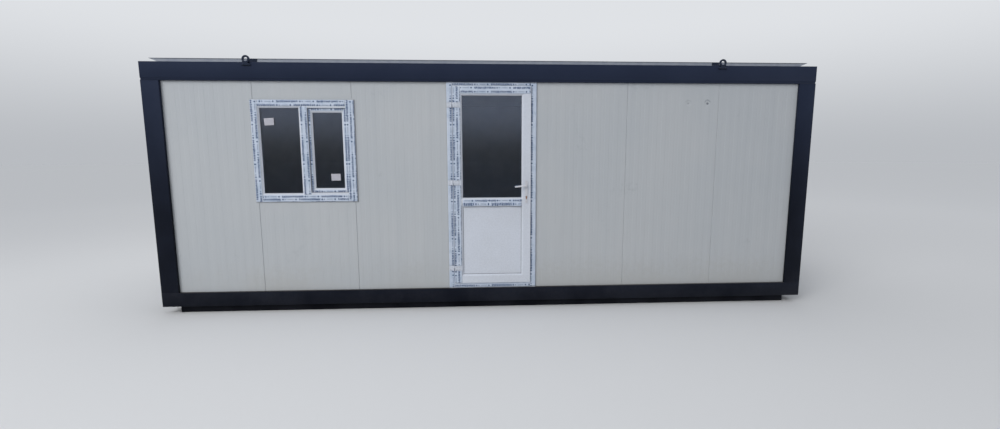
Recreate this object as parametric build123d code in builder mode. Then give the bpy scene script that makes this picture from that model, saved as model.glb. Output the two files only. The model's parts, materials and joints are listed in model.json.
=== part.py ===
from build123d import *
import os
from math import atan, degrees

os.makedirs("parts", exist_ok=True)

# Portable site cabin: a steel frame with insulated wall panels, one door and one window.
# Millimetres. X runs along the front from left to right, the front faces -Y, and Z is up.
# The origin is on the floor line, under the middle of the frame.

# Frame
cabin_width = 2400
skid_height = 80
base_beam_height = 150
wall_height = 2199
roof_beam_height = 182
beam_flange = 100
frame_plate = 4
post_face = 177
panel_recess = 30

# Wall panels
panel_module = 1000
door_bay = 900
panel_count_before_door = 3
panel_count_after_door = 3
left_margin = 66
right_margin = 48
panel_thickness = 50
panel_gap = 0.5
panel_bevel = 4
tongue_length = 10
tongue_width = 18
tongue_taper = 2
groove_clearance = 1
band_width = 50
band_slope = 4
band_depth = 0.8

# Roof beam section
gutter_lip = 32
gutter_width = 118
gutter_depth = 38
roof_seat = 40
web_fold_height = 20
web_fold_step = 3

# Skids, joists and floor
skid_width = 100
skid_wall = 5
skid_front_setback = 60
skid_end_setback = 150
joist_spacing = 600
joist_width = 50
floor_thickness = 22

# Roof covering
ceiling_thickness = 50
ceiling_side_gap = 1
batten_depth = 58
batten_width = 45
sheet_thickness = 2
rib_height = 59
rib_pitch = 250
rib_crest = 70
rib_slope = 30
trim_thickness = 1.5
trim_height = 63
trim_top = 80
trim_lip = 6
trim_lip_drop = 8
trim_clearance = 1
end_overhang = 150

# Lifting lugs
lug_inset = 1046
eye_radius = 38
eye_hole_radius = 20
eye_height = 27
eye_thickness = 15
eye_edge = 3
neck_width = 36
foot_width = 84
foot_height = 8
foot_drop = 34
foot_shoulder = 16
strap_width = 75
strap_thickness = 6
strap_root = 6
lug_clearance = 0.3

# Window
cover_overlap = 24
window_height = 1053
window_drop = 184
window_proud = 14
frame_fit_gap = 2
fixed_left = 86
fixed_glass_width = 394
fixed_glass_rise = 91
light_drop = 83
sash_left = 571
sash_width = 389
sash_rise = 96
sash_lap = 8
sash_side_gap = 4
sash_depth = 58
sash_face = 46
window_bead = 18
glass_thickness = 24
glass_grip = 12
glass_clearance = 0.3
fixed_glass_depth = 8
sash_glass_depth = 14
sash_bead_depth = 12

# Door frame and leaf
mitre_gap = 0.2
door_frame_proud = 12
door_frame_face = 62
door_frame_lap = 12
stop_width = 12
stop_depth = 14
door_gap = 6
door_lip_gap = 5
door_head_cut = 23
door_sill_cut = 5
leaf_lip = 13
leaf_face = 97
leaf_depth = 60
leaf_bead = 18
leaf_bead_depth = 14
mid_rail_low = 1045
mid_rail_high = 1142

# Hinges
low_hinge_rise = 166
middle_hinge_rise = 1096
high_hinge_drop = 195
hinge_radius = 8
hinge_axis_inset = 13
hinge_axis_proud = 4
knuckle_height = 24
knuckle_gap = 0.5
hinge_pin_radius = 4
hinge_pin_clearance = 0.05
hinge_pin_length = 18
frame_plate_reach = 45
leaf_plate_reach = 62
hinge_plate_thickness = 6
hinge_arm_gap = 1
hinge_leaf_start = 4

# Handle and lock
spindle_height = 1270
spindle_backset = 46
spindle_size = 8
spindle_hole_radius = 10
handle_plate_width = 28
handle_plate_drop = 185
handle_plate_rise = 55
handle_plate_thickness = 8
neck_radius = 9.5
neck_clearance = 0.08
lever_standoff = 48
lever_length = 118
lever_droop = 12
lever_root_radius = 11
lever_tip_radius = 8
lever_thickness = 12
lever_edge = 4
lock_drop = 120
lock_radius = 8.5
lock_body_width = 10
lock_body_drop = 25
lock_proud = 3
lock_clearance = 0.3

# Dents near the top of the fifth panel
dent_places = ((664, 2141), (874, 2141))
dent_radius = 38
dent_depth = 4
dent_hole_radius = 5
dent_hole_depth = 8

# Worked-out sizes
panel_run = (panel_count_before_door + panel_count_after_door) * panel_module + door_bay
cabin_length = left_margin + panel_run + right_margin
half_length = cabin_length / 2
half_width = cabin_width / 2
base_low = skid_height
base_high = base_low + base_beam_height
roof_low = base_high + wall_height
roof_high = roof_low + roof_beam_height
run_left = -half_length + left_margin
door_left = run_left + panel_count_before_door * panel_module
door_right = door_left + door_bay
wall_face = -half_width + panel_recess
wall_back = wall_face + panel_thickness
gutter_end = gutter_lip + gutter_width
seat_end = gutter_end + roof_seat
window_opening_left = run_left + panel_module
window_opening_right = window_opening_left + panel_module
window_left = window_opening_left - cover_overlap
window_high = roof_low - window_drop
window_low = window_high - window_height
window_opening_low = window_low + cover_overlap
window_opening_high = window_high - cover_overlap


def slab(x, y, z, mode=Mode.ADD):
    """A rectangular block between two values on each axis."""
    with BuildSketch(Plane.XY.offset(z[0])) as outline:
        with Locations(((x[0] + x[1]) / 2, (y[0] + y[1]) / 2)):
            Rectangle(x[1] - x[0], y[1] - y[0])
    extrude(outline.sketch, amount=z[1] - z[0], mode=mode)


def prism(plane, points, amount, mode=Mode.ADD):
    """A closed outline on a plane, pushed along the plane's normal."""
    with BuildSketch(plane) as outline:
        with BuildLine():
            Polyline(*points, close=True)
        make_face()
    extrude(outline.sketch, amount=amount, mode=mode)


def folded(points, thickness):
    """The closed section of a folded plate, with its metal on the left of the line."""
    line = [Vector(*point) for point in points]
    sides = [(b - a).normalized() for a, b in zip(line, line[1:])]
    normals = [Vector(-side.Y, side.X) for side in sides]
    inner = [line[0] + normals[0] * thickness]
    for corner, before, after in zip(line[1:-1], normals, normals[1:]):
        inner.append(corner + (before + after) * (thickness / (1 + before.dot(after))))
    inner.append(line[-1] + normals[-1] * thickness)
    return [(point.X, point.Y) for point in line + inner[::-1]]


def keep(piece, name):
    """Label one finished piece and write it out."""
    piece.label = name
    export_step(piece, "parts/" + name + ".step")


def frame_beam(section, length, half_span, low):
    """A folded beam along X with mitred ends and its outer face at y = -half_span."""
    depth = max(y for y, z in section)
    height = max(z for y, z in section)
    prism(Plane.YZ.offset(-length / 2), [(y - half_span, z + low) for y, z in section], length)
    for end in (-1, 1):
        corner = (end * length / 2, -half_span)
        mitre = [corner, (corner[0], depth - half_span), (corner[0] - end * depth, depth - half_span)]
        prism(Plane.XY.offset(low), mitre, height, mode=Mode.SUBTRACT)


# Base and roof beams, mitred at the four corners

base_section = folded(
    [(beam_flange, base_beam_height), (0, base_beam_height), (0, 0), (beam_flange, 0)],
    frame_plate,
)
gutter_floor = roof_beam_height - gutter_depth
roof_section = folded(
    [
        (seat_end, roof_beam_height),
        (gutter_end, roof_beam_height),
        (gutter_end, gutter_floor),
        (gutter_lip, gutter_floor),
        (gutter_lip, roof_beam_height),
        (0, roof_beam_height),
        (0, web_fold_height + web_fold_step),
        (web_fold_step, web_fold_height),
        (web_fold_step, 0),
        (beam_flange, 0),
    ],
    frame_plate,
)
beam_sides = (
    ("front", cabin_length, half_width, 0),
    ("right", cabin_width, half_length, 90),
    ("rear", cabin_length, half_width, 180),
    ("left", cabin_width, half_length, -90),
)
for side, length, half_span, turn in beam_sides:
    with BuildPart() as base_beam:
        frame_beam(base_section, length, half_span, base_low)
    keep(base_beam.part.rotate(Axis.Z, turn), "base_beam_" + side)
    with BuildPart() as roof_beam:
        frame_beam(roof_section, length, half_span, roof_low)
    keep(roof_beam.part.rotate(Axis.Z, turn), "roof_beam_" + side)

# Corner posts, folded from plate with lips that cover the panel edges

post_section = folded(
    [(panel_recess, post_face), (0, post_face), (0, 0), (post_face, 0), (post_face, panel_recess)],
    frame_plate,
)
for end, across in (("front", -1), ("rear", 1)):
    for side, along in (("left", -1), ("right", 1)):
        post_points = [(along * (half_length - x), across * (half_width - y)) for x, y in post_section]
        with BuildPart() as corner_post:
            prism(Plane.XY.offset(base_high), post_points, wall_height)
        keep(corner_post.part, "corner_post_" + end + "_" + side)

# Skids: three box sections under the frame

skid_half_length = half_length - skid_end_setback
skid_offset = half_width - skid_front_setback - skid_width / 2
with BuildPart() as skids:
    for skid_y in (-skid_offset, 0, skid_offset):
        with BuildSketch(Plane.YZ.offset(-skid_half_length)):
            with Locations((skid_y, skid_height / 2)):
                Rectangle(skid_width, skid_height)
                Rectangle(skid_width - 2 * skid_wall, skid_height - 2 * skid_wall, mode=Mode.SUBTRACT)
        extrude(amount=2 * skid_half_length)
keep(skids.part, "skids")

# Floor joists, coped round the flanges of the base beams

joist_half_span = half_width - frame_plate
cope = half_width - beam_flange
joist_points = [
    (-joist_half_span, base_low + frame_plate),
    (-cope, base_low + frame_plate),
    (-cope, base_low),
    (cope, base_low),
    (cope, base_low + frame_plate),
    (joist_half_span, base_low + frame_plate),
    (joist_half_span, base_high - frame_plate),
    (cope, base_high - frame_plate),
    (cope, base_high),
    (-cope, base_high),
    (-cope, base_high - frame_plate),
    (-joist_half_span, base_high - frame_plate),
]
joist_room = cabin_length - 2 * (beam_flange + joist_width)
joist_count = int(joist_room // joist_spacing) + 1
with BuildPart() as floor_joists:
    for index in range(joist_count):
        joist_x = (index - (joist_count - 1) / 2) * joist_spacing
        prism(Plane.YZ.offset(joist_x - joist_width / 2), joist_points, joist_width)
keep(floor_joists.part, "floor_joists")

with BuildPart() as floor_deck:
    floor_half_length = half_length - panel_recess - panel_thickness
    floor_z = (base_high, base_high + floor_thickness)
    slab((-floor_half_length, floor_half_length), (wall_back, -wall_back), floor_z)
keep(floor_deck.part, "floor_deck")

# Wall panels with fine stepped bands outside and tongue-and-groove edges


def panel_section(width, left_joint, right_joint):
    """Plan of one panel: x along the wall, y from the outer face to the inner face."""
    middle = panel_thickness / 2
    band_count = 2 * round(width / band_width / 2) + 1
    depths = (0, band_depth)
    points = [(0, panel_bevel), (panel_bevel, 0)]
    for index in range(1, band_count):
        x = index * width / band_count
        points += [(x - band_slope / 2, depths[0]), (x + band_slope / 2, depths[1])]
        depths = depths[::-1]
    points += [(width - panel_bevel, 0), (width, panel_bevel)]
    if right_joint:
        tongue_end = width + tongue_length
        root = tongue_width / 2
        points += [(width, middle - root), (tongue_end, middle - root + tongue_taper)]
        points += [(tongue_end, middle + root - tongue_taper), (width, middle + root)]
    points += [(width, panel_thickness), (0, panel_thickness)]
    if left_joint:
        groove_end = tongue_length + groove_clearance
        mouth = tongue_width / 2 + groove_clearance
        points += [(0, middle + mouth), (groove_end, middle + mouth - tongue_taper)]
        points += [(groove_end, middle - mouth + tongue_taper), (0, middle - mouth)]
    return points


def wall_panel(left, right, face, joints=(True, True), low=base_high, high=roof_low):
    """One panel between two joint lines, with its outer face at y = face."""
    start = left + panel_gap / 2
    section = panel_section(right - left - panel_gap, *joints)
    prism(Plane.XY.offset(low), [(start + x, face + y) for x, y in section], high - low)


def wall_run(widths, first):
    """Joint lines of neighbouring panels, from the first line on."""
    lines = [first]
    for width in widths:
        lines.append(lines[-1] + width)
    return list(zip(lines, lines[1:]))


bays = [panel_module] * panel_count_before_door + [door_bay] + [panel_module] * panel_count_after_door
front_run = wall_run(bays, run_left)
dent_slope = degrees(atan((dent_radius - dent_hole_radius) / dent_depth))
door_index = panel_count_before_door
window_index = 1
number = 0
for index, (left, right) in enumerate(front_run):
    if index == door_index:
        continue
    number += 1
    joints = (index not in (0, door_index + 1), index not in (door_index - 1, len(front_run) - 1))
    with BuildPart() as front_panel:
        if index == window_index:
            wall_panel(left, right, wall_face, joints, high=window_opening_low)
            wall_panel(left, right, wall_face, joints, low=window_opening_high)
        else:
            wall_panel(left, right, wall_face, joints)
        if index == window_index - 1:
            slab(
                (right - panel_gap / 2, right + panel_module / 2),
                (wall_face, wall_back),
                (window_opening_low, window_opening_high),
                mode=Mode.SUBTRACT,
            )
        if index == door_index + 2:
            for dent_x, dent_z in dent_places:
                dent_plane = Plane(
                    origin=(left + dent_x, wall_face, base_low + dent_z), x_dir=(1, 0, 0), z_dir=(0, 1, 0)
                )
                with BuildSketch(dent_plane) as dent:
                    Circle(dent_radius)
                extrude(dent.sketch, amount=dent_depth, taper=dent_slope, mode=Mode.SUBTRACT)
                with BuildSketch(dent_plane) as dent_hole:
                    Circle(dent_hole_radius)
                extrude(dent_hole.sketch, amount=dent_hole_depth, mode=Mode.SUBTRACT)
    keep(front_panel.part, "front_panel_" + str(number))

with BuildPart() as rear_wall_panels:
    for index, (left, right) in enumerate(front_run):
        wall_panel(left, right, wall_face, (index > 0, index < len(front_run) - 1))
keep(rear_wall_panels.part.rotate(Axis.Z, 180), "rear_wall_panels")

end_run_length = -2 * wall_back
end_cut_width = (end_run_length - panel_module) / 2
end_face = -half_length + panel_recess
end_run = wall_run([end_cut_width, panel_module, end_cut_width], wall_back)
for side, turn in (("left", -90), ("right", 90)):
    with BuildPart() as end_panels:
        for index, (left, right) in enumerate(end_run):
            wall_panel(left, right, end_face, (index > 0, index < len(end_run) - 1))
    keep(end_panels.part.rotate(Axis.Z, turn), side + "_end_panels")

# Ceiling panels, laid on the lower flanges of the roof beams

ceiling_low = roof_low + frame_plate
ceiling_half_width = half_width - web_fold_step - frame_plate - ceiling_side_gap
with BuildPart() as ceiling_panels:
    for left, right in front_run:
        start = left + panel_gap / 2
        end = right - panel_gap / 2
        ceiling_points = [
            (start, ceiling_low + panel_bevel),
            (start + panel_bevel, ceiling_low),
            (end - panel_bevel, ceiling_low),
            (end, ceiling_low + panel_bevel),
            (end, ceiling_low + ceiling_thickness),
            (start, ceiling_low + ceiling_thickness),
        ]
        prism(Plane.XZ.offset(-ceiling_half_width), ceiling_points, 2 * ceiling_half_width)
keep(ceiling_panels.part, "ceiling_panels")

# Roof battens between the inner legs of the gutters, coped under the seats

batten_half_span = half_width - gutter_end - frame_plate
seat_edge = half_width - seat_end
batten_points = [
    (-batten_half_span, roof_high - batten_depth),
    (batten_half_span, roof_high - batten_depth),
    (batten_half_span, roof_high - frame_plate),
    (seat_edge, roof_high - frame_plate),
    (seat_edge, roof_high),
    (-seat_edge, roof_high),
    (-seat_edge, roof_high - frame_plate),
    (-batten_half_span, roof_high - frame_plate),
]
with BuildPart() as roof_battens:
    for left, right in front_run:
        batten_x = (left + right) / 2
        prism(Plane.YZ.offset(batten_x - batten_width / 2), batten_points, batten_width)
keep(roof_battens.part, "roof_battens")

# Ribbed roof sheet and the folded trims round its edges

trim_face = half_width - gutter_end - trim_clearance
sheet_half_width = trim_face - 2 * trim_thickness
sheet_half_length = half_length - gutter_end - trim_clearance - 2 * trim_thickness
rib_count = round(2 * sheet_half_length / rib_pitch)
rib_step = 2 * sheet_half_length / rib_count
sheet_top = roof_high + sheet_thickness
sheet_line = [(sheet_half_length, sheet_top)]
for index in reversed(range(rib_count)):
    rib_x = -sheet_half_length + (index + 1 / 2) * rib_step
    crest = rib_crest / 2
    foot = crest + rib_slope
    sheet_line += [(rib_x + foot, sheet_top), (rib_x + crest, sheet_top + rib_height)]
    sheet_line += [(rib_x - crest, sheet_top + rib_height), (rib_x - foot, sheet_top)]
sheet_line += [(-sheet_half_length, sheet_top)]
with BuildPart() as roof_sheet:
    prism(Plane.XZ.offset(-sheet_half_width), folded(sheet_line, sheet_thickness), 2 * sheet_half_width)
keep(roof_sheet.part, "roof_sheet")

side_trim_section = folded(
    [(trim_top, trim_height), (-trim_lip, trim_height), (0, trim_height - trim_lip_drop), (0, 0)],
    trim_thickness,
)
end_trim_section = folded([(trim_top, trim_height), (-end_overhang, trim_height), (0, 0)], trim_thickness)
end_trim_face = half_length - gutter_end - trim_clearance
trim_joint = trim_thickness + panel_gap
lug_places = (-(half_length - lug_inset), half_length - lug_inset)
trim_length = end_trim_face + end_overhang


def side_trim():
    """The folded trim along the front, with slanted ends and a notch behind each lug."""
    trim_points = [(y - trim_face, z + roof_high) for y, z in side_trim_section]
    prism(Plane.YZ.offset(-trim_length), trim_points, 2 * trim_length)
    for end in (-1, 1):
        slab(
            sorted((end * (end_trim_face - trim_top - panel_gap), end * trim_length)),
            (trim_thickness - trim_face, 0),
            (roof_high, roof_high + trim_height),
            mode=Mode.SUBTRACT,
        )
        slant = [
            (end * end_trim_face, roof_high),
            (end * trim_length, roof_high),
            (end * trim_length, roof_high + trim_height),
        ]
        prism(Plane.XZ.offset(trim_face - trim_top), slant, trim_top + trim_lip, mode=Mode.SUBTRACT)
    for lug_x in lug_places:
        notch = strap_width / 2 + 2 * lug_clearance
        slab(
            (lug_x - notch, lug_x + notch),
            (-trim_face - trim_lip, -trim_face),
            (roof_high, roof_high + trim_height),
            mode=Mode.SUBTRACT,
        )


with BuildPart() as front_trim:
    side_trim()
with BuildPart() as end_trim:
    end_points = [(y - end_trim_face, z + roof_high) for y, z in end_trim_section]
    prism(Plane.YZ.offset(trim_joint - trim_face), end_points, 2 * (trim_face - trim_joint))
with BuildPart() as roof_edge_trim:
    add(front_trim.part)
    add(front_trim.part.rotate(Axis.Z, 180))
    add(end_trim.part.rotate(Axis.Z, 90))
    add(end_trim.part.rotate(Axis.Z, -90))
keep(roof_edge_trim.part, "roof_edge_trim")

# Lifting lugs: an eye on the face of the roof beam and a strap back over the gutter

front_face = Plane.XZ.offset(half_width)
strap_end = trim_face + lug_clearance


def lifting_lug(lug_x):
    """One lug at the front, with its hole along Y."""
    with BuildPart() as lug:
        with BuildSketch(front_face) as eye:
            with Locations((lug_x, roof_high + eye_height)):
                Circle(eye_radius)
            with BuildLine():
                Polyline(
                    (lug_x - foot_width / 2, roof_high - foot_drop),
                    (lug_x + foot_width / 2, roof_high - foot_drop),
                    (lug_x + foot_width / 2, roof_high - foot_drop + foot_height),
                    (lug_x + neck_width / 2, roof_high - foot_drop + foot_height + foot_shoulder),
                    (lug_x + neck_width / 2, roof_high),
                    (lug_x - neck_width / 2, roof_high),
                    (lug_x - neck_width / 2, roof_high - foot_drop + foot_height + foot_shoulder),
                    (lug_x - foot_width / 2, roof_high - foot_drop + foot_height),
                    close=True,
                )
            make_face()
        extrude(eye.sketch, amount=eye_thickness)
        chamfer(lug.faces().sort_by(Axis.Y)[0].edges(), eye_edge)
        with BuildSketch(front_face) as eye_hole:
            with Locations((lug_x, roof_high + eye_height)):
                Circle(eye_hole_radius)
        extrude(eye_hole.sketch, amount=eye_thickness, mode=Mode.SUBTRACT)
        strap_x = (lug_x - strap_width / 2, lug_x + strap_width / 2)
        slab(strap_x, (-half_width - strap_root, -strap_end), (roof_high, roof_high + strap_thickness))
        slab(strap_x, (-strap_end - strap_thickness, -strap_end), (roof_high, roof_high + trim_height))
    return lug.part


with BuildPart() as lifting_lugs:
    for lug_x in lug_places:
        add(lifting_lug(lug_x))
keep(lifting_lugs.part, "lifting_lugs_front")
keep(lifting_lugs.part.rotate(Axis.Z, 180), "lifting_lugs_rear")

# Window


def bevelled_opening(x, z, front, back, bead, bead_depth):
    """An opening through a frame, with a sloped bead round it on both faces."""
    slab(x, (front, back), z, mode=Mode.SUBTRACT)
    width = x[1] - x[0] + 2 * bead
    height = z[1] - z[0] + 2 * bead
    middle = ((x[0] + x[1]) / 2, (z[0] + z[1]) / 2)
    slope = degrees(atan(bead / bead_depth))
    outer_face = Plane(origin=(middle[0], front, middle[1]), x_dir=(1, 0, 0), z_dir=(0, 1, 0))
    inner_face = Plane(origin=(middle[0], back, middle[1]), x_dir=(1, 0, 0), z_dir=(0, -1, 0))
    for face in (outer_face, inner_face):
        with BuildSketch(face) as bead_line:
            Rectangle(width, height)
        extrude(bead_line.sketch, amount=bead_depth, taper=slope, mode=Mode.SUBTRACT)


def grown(limits, amount):
    """Two limits moved apart by an amount at each end."""
    return (limits[0] - amount, limits[1] + amount)


def pane(x, z, front, mode=Mode.ADD, room=0):
    """A pane that reaches into its grooves, or the grooves themselves."""
    grip = glass_grip - glass_clearance + room
    slab(grown(x, grip), (front - room, front + glass_thickness + room), grown(z, grip), mode=mode)


window_front = wall_face - window_proud
fixed_x = (window_left + fixed_left, window_left + fixed_left + fixed_glass_width)
fixed_z = (window_low + fixed_glass_rise, window_high - light_drop)
fixed_glass_front = wall_face + fixed_glass_depth
sash_x = (window_left + sash_left, window_left + sash_left + sash_width)
sash_z = (window_low + sash_rise, window_high - light_drop)
sash_glass_front = wall_face + sash_glass_depth
sash_glass_x = grown(sash_x, -sash_face)
sash_glass_z = grown(sash_z, -sash_face)
opening_x = (window_opening_left, window_opening_right)
opening_z = (window_opening_low, window_opening_high)
with BuildPart() as window_frame:
    slab(grown(opening_x, cover_overlap), (window_front, wall_face), grown(opening_z, cover_overlap))
    slab(grown(opening_x, -frame_fit_gap), (wall_face, wall_back), grown(opening_z, -frame_fit_gap))
    bevelled_opening(fixed_x, fixed_z, window_front, wall_back, window_bead, window_proud)
    pane(fixed_x, fixed_z, fixed_glass_front, mode=Mode.SUBTRACT, room=glass_clearance)
    slab(sash_x, (window_front, wall_face), sash_z, mode=Mode.SUBTRACT)
    rebate = sash_lap + sash_side_gap
    slab(grown(sash_x, rebate), (wall_face, wall_back), grown(sash_z, rebate), mode=Mode.SUBTRACT)
keep(window_frame.part, "window_frame")

with BuildPart() as window_sash:
    sash_back = wall_face + sash_depth
    slab(grown(sash_x, sash_lap), (wall_face, sash_back), grown(sash_z, sash_lap))
    bevelled_opening(sash_glass_x, sash_glass_z, wall_face, sash_back, window_bead, sash_bead_depth)
    pane(sash_glass_x, sash_glass_z, sash_glass_front, mode=Mode.SUBTRACT, room=glass_clearance)
keep(window_sash.part, "window_sash")

with BuildPart() as window_glass:
    pane(fixed_x, fixed_z, fixed_glass_front)
    pane(sash_glass_x, sash_glass_z, sash_glass_front)
keep(window_glass.part, "window_glass")

# Door frame: two jambs, a head and a sill with mitred corners

door_frame_x = (door_left - cover_overlap, door_right + cover_overlap)
door_frame_z = (base_high - door_sill_cut, roof_low + door_head_cut)
body_start = cover_overlap + frame_fit_gap
body_end = door_frame_face + door_frame_lap
stop_end = body_end + stop_width
door_section = [
    (0, -door_frame_proud),
    (body_end, -door_frame_proud),
    (body_end, panel_thickness - stop_depth),
    (stop_end, panel_thickness - stop_depth),
    (stop_end, panel_thickness),
    (body_start, panel_thickness),
    (body_start, 0),
    (0, 0),
]


def mitred_bar(side, section, x, z, face):
    """One bar of a mitred frame; each point of its section is (inward, back from the face)."""
    reach = max(u for u, v in section)
    front = min(v for u, v in section)
    back = max(v for u, v in section)
    if side in ("left", "right"):
        edge, inward = (x[0], 1) if side == "left" else (x[1], -1)
        prism(Plane.XY.offset(z[0]), [(edge + inward * u, face + v) for u, v in section], z[1] - z[0])
        outline = [
            (edge, z[0]),
            (edge, z[1]),
            (edge + inward * reach, z[1] - reach),
            (edge + inward * reach, z[0] + reach),
        ]
    else:
        edge, inward = (z[0], 1) if side == "bottom" else (z[1], -1)
        prism(Plane.YZ.offset(x[0]), [(face + v, edge + inward * u) for u, v in section], x[1] - x[0])
        outline = [
            (x[0] + mitre_gap, edge),
            (x[1] - mitre_gap, edge),
            (x[1] - mitre_gap - reach, edge + inward * reach),
            (x[0] + mitre_gap + reach, edge + inward * reach),
        ]
    prism(Plane.XZ.offset(-face - back), outline, back - front, mode=Mode.INTERSECT)


def door_frame_bar(side, name):
    """A bar of the door frame, kept between the beams."""
    with BuildPart() as bar:
        mitred_bar(side, door_section, door_frame_x, door_frame_z, wall_face)
        slab(door_frame_x, (wall_face - door_frame_proud, wall_back), (base_high, roof_low), mode=Mode.INTERSECT)
    keep(bar.part, name)


door_frame_bar("left", "door_jamb_left")
door_frame_bar("right", "door_jamb_right")
door_frame_bar("top", "door_head")
door_frame_bar("bottom", "door_sill")

# Door leaf with its glass, its infill panel, hinges and handles

frame_front = wall_face - door_frame_proud
leaf_back_of_lip = frame_front - door_lip_gap
leaf_front = leaf_back_of_lip - leaf_lip
leaf_back = leaf_front + leaf_depth
leaf_x = grown(door_frame_x, -door_frame_face)
leaf_z = grown(door_frame_z, -door_frame_face)
body_inset = door_frame_lap + door_gap
light_x = grown(leaf_x, -leaf_face)
light_z = (base_low + mid_rail_high, leaf_z[1] - leaf_face)
infill_z = (leaf_z[0] + leaf_face, base_low + mid_rail_low)
bead_back = leaf_depth - leaf_bead_depth
leaf_section = [
    (0, 0),
    (leaf_face - leaf_bead, 0),
    (leaf_face, leaf_bead_depth),
    (leaf_face, bead_back),
    (leaf_face - leaf_bead, leaf_depth),
    (body_inset, leaf_depth),
    (body_inset, leaf_lip),
    (0, leaf_lip),
]
door_glass_front = (leaf_front + leaf_back - glass_thickness) / 2
spindle_x = leaf_x[1] - spindle_backset
spindle_z = base_low + spindle_height
lock_z = spindle_z - lock_drop
leaf_plane = Plane.XZ.offset(-leaf_back)


def lock_bar(front, back, room=0, mode=Mode.ADD):
    """The lock profile pushed from one depth to another."""
    with BuildSketch(Plane.XZ.offset(-back)) as face:
        with Locations((spindle_x, lock_z)):
            Circle(lock_radius + room)
        with Locations((spindle_x, lock_z - lock_body_drop / 2)):
            Rectangle(lock_body_width + 2 * room, lock_body_drop + 2 * room)
    extrude(face.sketch, amount=back - front, mode=mode)


def round_bar(x, z, radius, front, back, mode=Mode.ADD):
    """A round bar along Y, or the hole for one."""
    with BuildSketch(Plane.XZ.offset(-back)) as disc:
        with Locations((x, z)):
            Circle(radius)
    extrude(disc.sketch, amount=back - front, mode=mode)


def mid_rail():
    """The rail between the two panes; its ends follow the sloped beads of the uprights."""
    low, high = base_low + mid_rail_low, base_low + mid_rail_high
    depths = (0, leaf_bead_depth, bead_back, leaf_depth)
    edges = (leaf_bead, 0, 0, leaf_bead)
    section = [(leaf_front + v, high - u) for u, v in zip(edges, depths)]
    section += [(leaf_front + v, low + u) for u, v in reversed(list(zip(edges, depths)))]
    prism(Plane.YZ.offset(light_x[0] - leaf_bead), section, light_x[1] - light_x[0] + 2 * leaf_bead)
    plan = [(light_x[1] + u - mitre_gap, leaf_front + v) for u, v in zip(edges, depths)]
    plan += [(light_x[0] - u + mitre_gap, leaf_front + v) for u, v in reversed(list(zip(edges, depths)))]
    prism(Plane.XY.offset(low), plan, high - low, mode=Mode.INTERSECT)


with BuildPart() as door_leaf:
    for side in ("left", "right", "top", "bottom", "middle"):
        with BuildPart():
            if side == "middle":
                mid_rail()
            else:
                mitred_bar(side, leaf_section, leaf_x, leaf_z, leaf_front)
            for pane_z in (light_z, infill_z):
                pane(light_x, pane_z, door_glass_front, mode=Mode.SUBTRACT, room=glass_clearance)
            round_bar(spindle_x, spindle_z, spindle_hole_radius, leaf_front, leaf_back, mode=Mode.SUBTRACT)
            lock_bar(leaf_front, leaf_back, room=lock_clearance, mode=Mode.SUBTRACT)
keep(door_leaf.part, "door_leaf")

with BuildPart() as door_glass:
    pane(light_x, light_z, door_glass_front)
keep(door_glass.part, "door_glass")

with BuildPart() as door_infill_panel:
    pane(light_x, infill_z, door_glass_front)
keep(door_infill_panel.part, "door_infill_panel")

hinge_x = leaf_x[0] - hinge_axis_inset
hinge_places = (leaf_z[0] + low_hinge_rise, leaf_z[0] + middle_hinge_rise, leaf_z[1] - high_hinge_drop)
hinge_y = leaf_front - hinge_axis_proud


def knuckle(low, high, radius=hinge_radius, mode=Mode.ADD):
    """A round length of hinge between two heights."""
    with BuildSketch(Plane.XY.offset(low)) as disc:
        with Locations((hinge_x, hinge_y)):
            Circle(radius)
    extrude(disc.sketch, amount=high - low, mode=mode)


with BuildPart() as hinge_frame_plates:
    for middle in hinge_places:
        low = middle - knuckle_height
        high = middle - knuckle_gap / 2
        plate_x = (leaf_x[0] - hinge_axis_inset - frame_plate_reach, hinge_x)
        slab(plate_x, (frame_front - hinge_plate_thickness, frame_front), (low, middle + knuckle_height))
        slab((hinge_x - hinge_radius, hinge_x), (hinge_y, frame_front), (low, high))
        knuckle(low, high)
        knuckle(high, middle + hinge_pin_length, radius=hinge_pin_radius)
keep(hinge_frame_plates.part, "hinge_frame_plates")

with BuildPart() as hinge_leaf_plates:
    for middle in hinge_places:
        low = middle + knuckle_gap / 2
        high = middle + knuckle_height
        plate_x = (leaf_x[0] + hinge_leaf_start, leaf_x[0] + leaf_plate_reach)
        slab(plate_x, (leaf_front - hinge_plate_thickness, leaf_front), (middle - knuckle_height, high))
        arm_y = (leaf_front - hinge_plate_thickness, leaf_front - hinge_arm_gap)
        slab((hinge_x, plate_x[1]), arm_y, (low, high))
        knuckle(low, high)
        bore_radius = hinge_pin_radius + hinge_pin_clearance
        knuckle(low, middle + hinge_pin_length + knuckle_gap, radius=bore_radius, mode=Mode.SUBTRACT)
keep(hinge_leaf_plates.part, "hinge_leaf_plates")

plate_x = (spindle_x - handle_plate_width / 2, spindle_x + handle_plate_width / 2)
plate_z = (spindle_z - handle_plate_drop, spindle_z + handle_plate_rise)
outer_plate = (leaf_front - handle_plate_thickness, leaf_front)
inner_plate = (leaf_back, leaf_back + handle_plate_thickness)
with BuildPart() as handle_plates:
    for plate_y in (outer_plate, inner_plate):
        with BuildPart() as handle_plate:
            slab(plate_x, plate_y, plate_z)
            fillet(handle_plate.edges().filter_by(Axis.Y), handle_plate_width / 4)
            round_bar(spindle_x, spindle_z, neck_radius + neck_clearance, *plate_y, mode=Mode.SUBTRACT)
            lock_bar(*plate_y, room=lock_clearance, mode=Mode.SUBTRACT)
keep(handle_plates.part, "handle_plates")

with BuildPart() as lock_cylinder:
    lock_bar(outer_plate[0] - lock_proud, inner_plate[1] + lock_proud)
keep(lock_cylinder.part, "lock_cylinder")


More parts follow.
